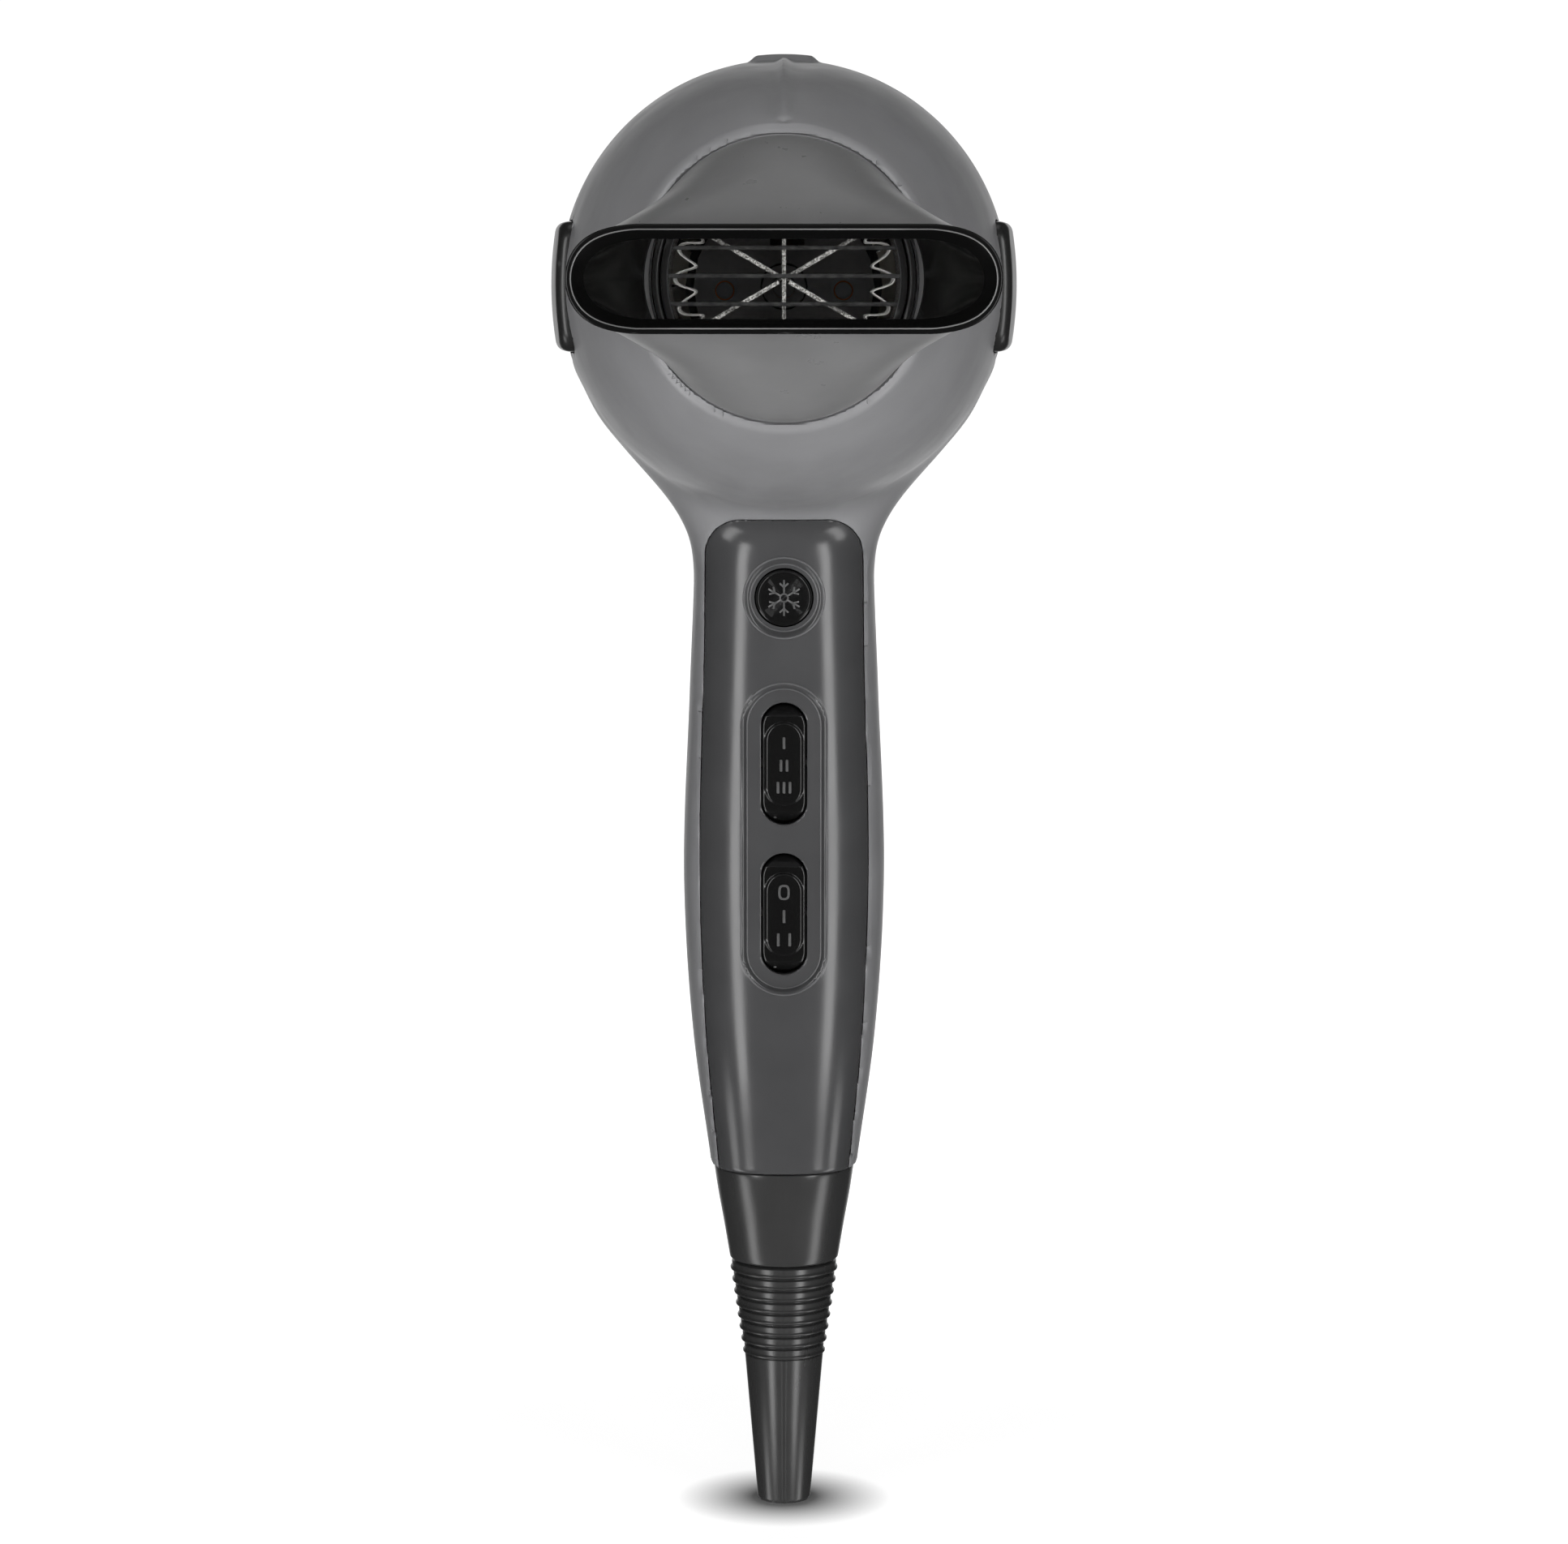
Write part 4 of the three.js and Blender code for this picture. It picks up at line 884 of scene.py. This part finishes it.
def rocker_field(x, y, z):
    """A rocker about its own middle: a stadium block, lowered at its ends, with a raised pad."""
    block = stadium_field(x, z, 4.7, 12.8)
    ends = np.maximum(9.6 - y, 9.6 + 0.95 * (np.abs(z) - 10.4) - y) * np.where(np.abs(z) > 10.4, 0.75, 1.0)
    solid = blend_max(block, ends, 0.6)
    pad = blend_max(stadium_field(x, z, 4.0, 9.1), 8.7 - 0.012 * (x * x) - y, 0.7)
    solid = blend_min(solid, pad, 0.35)
    solid = np.maximum(solid, y - 14.8)
    keel = np.maximum(np.maximum(np.abs(x) - 4.4, np.abs(z) - 5.0), np.maximum(y - 18.4, 12 - y))
    solid = np.minimum(solid, keel)
    return np.maximum(solid, 1.35 - np.hypot(y - 14.2, z))


MARK_Y = 8.62


def stroke(x, z, half_height=1.3):
    return bar((x, MARK_Y, z - half_height), (x, MARK_Y, z + half_height), 0.3, 0.22, 0.12)


def zero_mark(z):
    points = superellipse(1.0, 1.45, 3, 3, 8)
    path = np.stack([points[:, 0], np.full(len(points), MARK_Y), z + points[:, 1]], 1)
    return sweep(path, rounded_rectangle(0.27, 0.22, 0.12), (0, 1, 0), closed=True)


def rocker_marks(kind):
    if kind == "heat":
        rows = [(4.7, [0]), (-0.2, [-0.65, 0.65]), (-5.0, [-1.3, 0, 1.3])]
        return joined(*(stroke(x, z) for z, places in rows for x in places))
    rows = [(-0.3, [0]), (-5.4, [-1.25, 1.25])]
    return joined(zero_mark(5.0), *(stroke(x, z, 1.45) for z, places in rows for x in places))


def snowflake():
    """Raised six-armed flake on the button's face."""
    y = low("cool_button")[1] + 0.28
    parts = [sweep(arc_path(0.85, steps=24, y=y), rounded_rectangle(0.2, 0.18, 0.1), (0, 1, 0), closed=True)]
    arm = [((0.9, 0), (3.95, 0)), ((2.3, 0), (3.2, 0.95)), ((2.3, 0), (3.2, -0.95))]
    for turn in range(6):
        for (x0, z0), (x1, z1) in arm:
            parts.append(turned_about_y(bar((x0, y, z0), (x1, y, z1), 0.22, 0.18, 0.1), 60 * turn + 90))
    return joined(*parts)


def stadium_path(half_width, half_length, per_end=24):
    """Points (x, z) round a stadium, counter-clockwise from its right side."""
    per_side = 40 if half_length > half_width else 0
    turn = np.linspace(0, math.pi, per_end, endpoint=False)
    end = half_width * np.stack([np.cos(turn), np.sin(turn)], 1) + (0, half_length - half_width)
    run = np.linspace(half_length - half_width, half_width - half_length, per_side, endpoint=False)
    side = np.stack([np.full(per_side, -half_width), run], 1)
    return np.concatenate([end, side, -end, -side])


def on_casing(points):
    """The front surface of the handle behind (x, z) points."""
    x, z = points.T
    outside, inside = np.full(len(x), 0.0), np.full(len(x), 24.0)
    for _ in range(24):
        middle = (outside + inside) / 2
        within = casing_field(x, middle, z) < 0
        outside, inside = np.where(within, outside, middle), np.where(within, middle, inside)
    return np.stack([x, inside, z], 1)


def add_rims():
    """Fine beads that edge the switch tray and the button's dish, lighter than the cover: painted highlight
    lines.
    """
    beads = []
    for half, drop in (((9.3, 34.1), TRAY_DROP), ((8.72, 8.72), BUTTON_DROP)):
        path = on_casing(stadium_path(*half) - (0, drop)) + (0, 0.06, 0)
        beads.append(sweep(path, circle(0.24, 10), (0, 1, 0), closed=True))
    for half, drop, y in ((TRAY_HALF, TRAY_DROP, TRAY_DEPTH_Y), ((7.3, 7.3), BUTTON_DROP, DISH_DEPTH_Y)):
        x, z = (stadium_path(*half) - (0, drop)).T
        path = np.stack([x, np.full(len(x), y), z], 1)
        beads.append(sweep(path, circle(0.2, 10), (0, 1, 0), closed=True))
    build("cover_rims", joined(*beads), RIM_HIGHLIGHT, "housing", (), 60)


def add_controls():
    for kind, drop in ROCKER_DROP.items():
        vertices, faces = contour(rocker_field, (-5.2, 8.0, -13.4), (5.2, 18.8, 13.4), 0.24)
        offset = (0, 0, -drop)
        name = f"{kind}_rocker"
        new_object(name + "_fine", vertices + offset, faces, SWITCH, f"{kind}_switch", [name],
                   50)
        marks = moved(rocker_marks(kind), offset)
        build(f"{kind}_marks", marks, MARK_HIGHLIGHT, f"{kind}_switch", (), 50)
    front, rear = low("cool_button")[1], high("cool_button")[1]
    face = [(0.02, front + 0.45, 0), (5.0, front + 0.1, 0.6), (5.5, front - 0.02, 0.3)]
    skirt = [(6.1, front + 0.35, 0.5), (6.1, 12.9, 0.1), (7.3, 12.9, 0.2), (7.3, 13.9, 0.2)]
    stem = [(2.4, 13.9, 0.2), (2.4, rear, 0.3), (0.02, rear, 0)]
    button = moved(lathe(face + skirt + stem, 96), (0, 0, -BUTTON_DROP))
    build("cool_button_fine", button, GLOSS, "cool_shot", ["cool_button"], 50)
    build("cool_flake", moved(snowflake(), (0, 0, -BUTTON_DROP)), MARK_HIGHLIGHT, "cool_shot", (), 50)


# ---- collar and boot


# Each row: drop, half width, half depth.
COLLAR = [(HANDLE_END, 15.75, 18.1), (202, 14.9, 16.6), (210, 13.5, 14.3), (218.4, 12.1, 12.1)]
collar_half_width = smooth_table(COLLAR, 1)
collar_half_depth = smooth_table(COLLAR, 2)
COLLAR_STATIONS = 14
RIBS = 8
RIB_PITCH = 2.72
BOOT_TOP_R = 12.0
RIB_END_R = 9.2
BOOT_PLUG = 9
CORD_HOLE_R = 3.9


def collar_ring(drop, inset, per_quarter=28):
    """The collar's outline at a drop: oval under the handle, round at the boot, with a front seam."""
    half_width = float(collar_half_width(drop)) - inset
    half_depth = float(collar_half_depth(drop)) - inset
    power = float(np.interp(drop, [HANDLE_END, COLLAR[-1][0]], [2.4, 2.0]))
    points = superellipse(half_width, half_depth, power, power, per_quarter)
    ring = np.stack([points[:, 0], CORD_Y + points[:, 1], np.full(len(points), -drop)], 1)
    seam = 0.16 * np.exp(-((ring[:, 0] / 0.22) ** 2)) * (ring[:, 1] < CORD_Y) * (inset < 1)
    ring[:, 1] -= seam
    return ring


def add_collar():
    drops = np.linspace(HANDLE_END + GAP, COLLAR_END, COLLAR_STATIONS)
    outer = [(0.0, d, 0.5 if k in (0, COLLAR_STATIONS - 1) else 0) for k, d in enumerate(drops)]
    inner = [(2.0, d, 0) for d in drops[::-1]]
    rings = [collar_ring(drop, inset) for inset, drop in filleted(outer + inner)]
    build("cord_collar_fine", skin(rings, wrap=True), RUBBER, "housing", ["cord_collar"], 50)


def boot_profile():
    """Outside of the boot: eight rounded ribs, each with a thin lip, then a long cone."""
    top = BOOT_TOP - BOOT_PLUG
    rows = [(CORD_HOLE_R, BOOT_TOP, 0.3), (RIB_END_R, BOOT_TOP, 0.4), (RIB_END_R, top, 0)]
    for k in range(RIBS):
        r = BOOT_TOP_R + (RIB_END_R - BOOT_TOP_R) * k / (RIBS - 1)
        z = top - k * RIB_PITCH
        rows += [(r - 1.0, z, 0.15), (r - 0.25, z - 0.45, 0.3), (r - 0.32, z - 1.5, 0.5)]
        rows += [(r + 0.05, z - 1.9, 0.12), (r, z - 2.25, 0.12), (r - 0.85, z - 2.4, 0.2)]
    cone_top = top - RIBS * RIB_PITCH
    rows += [(8.8, cone_top, 0.3), (5.95, 0.7, 0.3), (5.6, 0.0, 0.3), (CORD_HOLE_R, 0.0, 0.4)]
    return rows


def add_boot():
    vertices, faces = lathe(boot_profile(), 120, axis="z", steps=3)
    angle = np.arctan2(vertices[:, 0], -vertices[:, 1])
    radius = np.hypot(vertices[:, 0], vertices[:, 1])
    outside = radius > 4.5
    seam = 0.14 * np.exp(-((angle * radius / 0.25) ** 2)) * outside
    vertices[:, 1] -= seam
    build("strain_relief_fine", (vertices + (0, CORD_Y, -AXIS_Z), faces), RUBBER, "housing",
          ["strain_relief"], 50)


# ---- air intake


def filter_cap():
    """Rim, two rings, six ribs and a hub."""
    rear = REAR_Y
    rim = [(41, CAP_Y + GAP, 0.3), (43.2, CAP_Y + GAP, 0.4), (42.6, 93, 3.0), (39.2, 100.4, 3.0)]
    rim += [(35.4, rear, 0.8), (32.6, rear, 0.7), (36.4, 99.6, 1.0), (40.4, 92.6, 1.0)]
    face = rear - 2.3
    parts = [lathe(rim, 160)]
    for inner, outer in ((15.4, 16.8), (24.4, 25.8)):
        parts.append(lathe(tube(inner, outer, face, rear, (0.5, 0.5, 0.6, 0.6)), 128))
    for k in range(6):
        rib = bar((7.5, rear - 1.15, 0), (34.0, rear - 1.15, 0), 0.8, 0.95, 0.5)
        parts.append(turned_about_y(rib, 60 * k))
    hub = [(0.02, rear - 0.5, 0), (6.6, rear - 0.3, 0.8), (7.6, rear, 0.4), (8.5, rear - 0.2, 0.5)]
    hub += [(8.5, face, 0.5), (0.02, face, 0)]
    parts.append(lathe(hub, 96))
    return joined(*parts)


def woven_mesh(radius=35.6, y=96.6, pitch=1.25):
    """A hoop with wires woven across it."""
    wires = [lathe(tube(35.0, 36.0, 96.2, 97.0, (0.2, 0.2, 0.2, 0.2)), 120)]
    places = np.arange(-radius + 0.9, radius, pitch)
    for row, place in enumerate(places):
        half = math.sqrt(radius**2 - place**2)
        steps = max(6, int(half * 2 / (pitch / 2)))
        along = np.linspace(-half, half, steps)
        lift = 0.16 * np.sin(math.pi * (along - places[0]) / pitch + math.pi * row)
        level = np.full(steps, place)
        weft = np.stack([along, y + lift, level], 1)
        warp = np.stack([level, y - lift, along], 1)
        wires.append(sweep(weft, circle(0.13, 5), (0, 0.3, 1)))
        wires.append(sweep(warp, circle(0.13, 5), (1, 0.3, 0)))
    return joined(*wires)


def add_intake():
    cap = moved(filter_cap(), (0, 0, -HEAD_DROP))
    build("filter_cap_fine", cap, HOUSING, "filter", ["filter_cap"], 45)
    mesh = moved(woven_mesh(), (0, 0, -HEAD_DROP))
    build("filter_mesh_fine", mesh, STEEL, "filter", ["filter_mesh"])


BLADES = 9
BLADE_R = [11.5, 25, 40.5]
BLADE_PITCH = [50, 38, 28]
BLADE_CHORD = [14, 22, 20]
BLADE_MIDDLE_Y = 69.5


def fan_blade(front, rear):
    """One cambered blade that reaches along +x, with its stations cut by the fan's two faces."""
    rings = []
    share = np.linspace(0, 2 * math.pi, 24, endpoint=False)
    u = np.cos(share)
    camber = 0.5 * (1 - u * u)
    thick = 0.62 * np.sin(share) * (1 - 0.5 * u)
    for r in np.linspace(11.8, 39.4, 14):
        pitch = math.radians(np.interp(r, BLADE_R, BLADE_PITCH))
        c = u * np.interp(r, BLADE_R, BLADE_CHORD) / 2
        y = BLADE_MIDDLE_Y + c * math.sin(pitch) + (thick + camber) * math.cos(pitch)
        turn = (c * math.cos(pitch) - (thick + camber) * math.sin(pitch)) / r
        rings.append(np.stack([r * np.cos(turn), np.clip(y, front, rear), r * np.sin(turn)], 1))
    return skin(rings, caps=True)


def add_fan():
    front, rear = low("fan_impeller")[1], high("fan_impeller")[1]
    hub = [(2.7, front, 0.3), (13, front, 0.6), (13, 72, 2.0), (8, rear, 1.5), (2.7, rear, 0.3)]
    blades = [turned_about_y(fan_blade(front, rear), 360 / BLADES * k) for k in range(BLADES)]
    fan = moved(joined(lathe(hub, 96), *blades), (0, 0, -HEAD_DROP))
    build("fan_impeller_fine", fan, FAN_PLASTIC, "rotor", ["fan_impeller"])


def dress_frame():
    """Finishes for the CAD nodes that stay."""
    finish_of = {
        "nozzle_collar": HOT_BLACK, "air_funnel": HOT_BLACK, "motor_mount": HOT_BLACK,
        "intake_grille": HOT_BLACK, "brush_left": HOT_BLACK, "brush_right": HOT_BLACK,
        "cord_clamp": HOT_BLACK, "heat_switch_body": HOT_BLACK, "speed_switch_body": HOT_BLACK,
        "cool_switch_body": HOT_BLACK, "stator_core": DARK_STEEL, "armature": DARK_STEEL,
        "field_coil_front": WINDING, "field_coil_rear": WINDING, "commutator": COPPER,
        "control_board": BOARD, "suppressor_capacitor": FAN_PLASTIC, "lead_live": LEAD, "lead_neutral": LEAD,
        "mica_board_front": MICA, "mica_board_middle": MICA, "mica_board_rear": MICA,
    }
    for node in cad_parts.values():
        material = finish_of.get(node.name, STEEL)
        for slot in node.material_slots:
            slot.material = material


# ---- camera, floor and light

CAMERA_DISTANCE = 943.29
CAMERA_TILT = 6.46


def add_camera():
    data = bpy.data.cameras.new("camera")
    data.lens = 100
    data.sensor_width = 36
    data.clip_start = 0.01
    data.clip_end = 30
    camera = bpy.data.objects.new("camera", data)
    camera.location = (0, (WIDE_Y - CAMERA_DISTANCE) * MM, AXIS_Z * MM)
    camera.rotation_euler = (math.radians(90 - CAMERA_TILT), 0, 0)
    bpy.context.scene.collection.objects.link(camera)
    bpy.context.scene.camera = camera


def add_light(name, place, target, size, radiance, diffuse=True, glossy=True, spread=180):
    """Rectangular light that the camera does not see. Its strength is given as radiance."""
    data = bpy.data.lights.new(name, "AREA")
    data.shape = "RECTANGLE"
    data.size, data.size_y = size
    data.energy = radiance * math.pi * size[0] * size[1]
    light = bpy.data.objects.new(name, data)
    light.location = place
    light.rotation_euler = (Vector(target) - Vector(place)).to_track_quat("-Z", "Y").to_euler()
    data.spread = math.radians(spread)
    light.visible_camera = False
    light.visible_diffuse = diffuse
    light.visible_glossy = glossy
    bpy.context.scene.collection.objects.link(light)


def add_floor():
    """White table. It shows to the camera alone, so the light on the dryer is the lamps' own. Its glow fades
    out close to the boot, a painted contact shadow.
    """
    f = Finish("floor_white")
    f.put(f.shader.inputs["Base Color"], f.mixed(f.noise(120, 3), grey(0.33), grey(0.36)))
    f.put(f.shader.inputs["Roughness"], f.mapped(f.noise(30, 3), 0.3, 0.7, 0.75, 0.85))
    f.shader.inputs["Specular IOR Level"].default_value = 0.1
    f.shader.inputs["Emission Color"].default_value = (1, 1, 1, 1)
    centre = (0, CORD_Y * MM, 0)
    away = f.add("ShaderNodeVectorMath", {0: f.place, 1: centre}, operation="DISTANCE").outputs["Value"]
    # The glow falls to nothing within 24 mm of the boot, a painted contact shadow, and grows further out.
    near, far = f.mapped(away, 0.007, 0.024, 0.0, 0.9), f.mapped(away, 0.1, 0.5, 0.0, 0.3)
    f.put(f.shader.inputs["Emission Strength"], f.add("ShaderNodeMath", {0: near, 1: far}).outputs[0])
    angle = np.linspace(0, 2 * math.pi, 96, endpoint=False)
    ring = np.stack([np.cos(angle), np.sin(angle), np.zeros(96)], 1)
    vertices, faces = skin([np.array(centre) + radius * ring for radius in (0.001, 0.1, 0.3, 0.8, 3.0)])
    mesh = bpy.data.meshes.new("floor")
    mesh.from_pydata(vertices.tolist(), [], faces)
    mesh.materials.append(f.material)
    floor = bpy.data.objects.new("floor", mesh)
    floor.visible_diffuse = floor.visible_glossy = floor.visible_shadow = False
    bpy.context.scene.collection.objects.link(floor)
    floor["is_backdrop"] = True


def add_world():
    """White backdrop for the camera; for the light, a dim studio that is white straight behind."""
    world = bpy.data.worlds.new("studio")
    bpy.context.scene.world = world
    world.use_nodes = True
    tree = world.node_tree

    def link(source, target):
        tree.links.new(source, target)

    def ranged(value, start, end, low_value, high_value):
        node = tree.nodes.new("ShaderNodeMapRange")
        link(value, node.inputs["Value"])
        node.inputs["From Min"].default_value = start
        node.inputs["From Max"].default_value = end
        node.inputs["To Min"].default_value = low_value
        node.inputs["To Max"].default_value = high_value
        return node

    direction = tree.nodes.new("ShaderNodeTexCoord").outputs["Generated"]
    ahead = tree.nodes.new("ShaderNodeVectorMath")
    ahead.operation = "DOT_PRODUCT"
    ahead.inputs[1].default_value = (0, -0.995, -0.1)
    link(direction, ahead.inputs[0])
    outer, inner = math.cos(math.radians(38)), math.cos(math.radians(16))
    dim = ranged(ahead.outputs["Value"], outer, inner, 0.06, 0.04)
    dim.interpolation_type = "SMOOTHSTEP"
    behind = tree.nodes.new("ShaderNodeSeparateXYZ")
    link(direction, behind.inputs[0])
    pale = ranged(behind.outputs["Y"], 0.88, 0.97, 0.0, 1.0)
    strength = tree.nodes.new("ShaderNodeMath")
    link(dim.outputs["Result"], strength.inputs[0])
    link(pale.outputs["Result"], strength.inputs[1])
    studio = tree.nodes["Background"]
    studio.inputs["Color"].default_value = (1, 1, 1, 1)
    link(strength.outputs[0], studio.inputs["Strength"])
    plain = tree.nodes.new("ShaderNodeBackground")
    plain.inputs["Color"].default_value = (1, 1, 1, 1)
    plain.inputs["Strength"].default_value = 1.05
    path = tree.nodes.new("ShaderNodeLightPath")
    choice = tree.nodes.new("ShaderNodeMixShader")
    link(path.outputs["Is Camera Ray"], choice.inputs[0])
    link(studio.outputs[0], choice.inputs[1])
    link(plain.outputs[0], choice.inputs[2])
    link(choice.outputs[0], tree.nodes["World Output"].inputs["Surface"])


def beside(side, degrees, height):
    """A place one metre from the dryer's axis, turned away from straight ahead."""
    angle = math.radians(degrees)
    return side * math.sin(angle), -math.cos(angle), height


def add_lights():
    outlet = (0, 0, AXIS_Z * MM)
    for side in (-1, 1):
        place = beside(side, 39, 0.3)
        add_light(f"strip_{side}", place, (0, 0, 0.3), (0.26, 1.5), 6.0, diffuse=False)
        add_light(f"side_{side}", place, (0, 0, 0.2), (0.4, 1.5), 0.8, glossy=False)
        place = (side * 0.45, -0.45, 0.42)
        add_light(f"head_{side}", place, (0, 0, 0.29), (0.25, 0.25), 0.5, glossy=False, spread=42)
        place = beside(side, 73, -0.72)
        add_light(f"boot_strip_{side}", place, (0, 0, -0.1), (0.34, 0.6), 4.0, diffuse=False)
    add_light("low", (0, -0.55, -0.6), outlet, (1.2, 0.7), 4.2, glossy=False)
    add_light("front", (0, -1.7, 0.25), (0, 0, 0.2), (1.4, 1.0), 5.1, glossy=False)
    add_light("upper", (0, -0.75, 1.05), (0, 0, 0.2), (0.8, 0.22), 1.2)
    add_light("top", (0, 0.15, 1.3), (0, 0.03, 0), (0.5, 0.5), 0.9)
    place = (0, -0.097, AXIS_Z * MM)
    add_light("inner", place, outlet, (0.06, 0.012), 3.5, glossy=False, spread=110)


bpy.context.scene.view_settings.view_transform = "Standard"
bpy.context.scene.view_settings.look = "None"

add_camera()
add_world()
add_lights()
add_floor()
add_casings()
add_nozzle()
add_outlet()
add_heater()
add_rims()
add_controls()
add_collar()
add_boot()
add_intake()
add_fan()
dress_frame()

bounds = {"cad": cad_box, "visual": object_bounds()}
{key: [list(map(float, corner)) for corner in box] for key, box in bounds.items()}
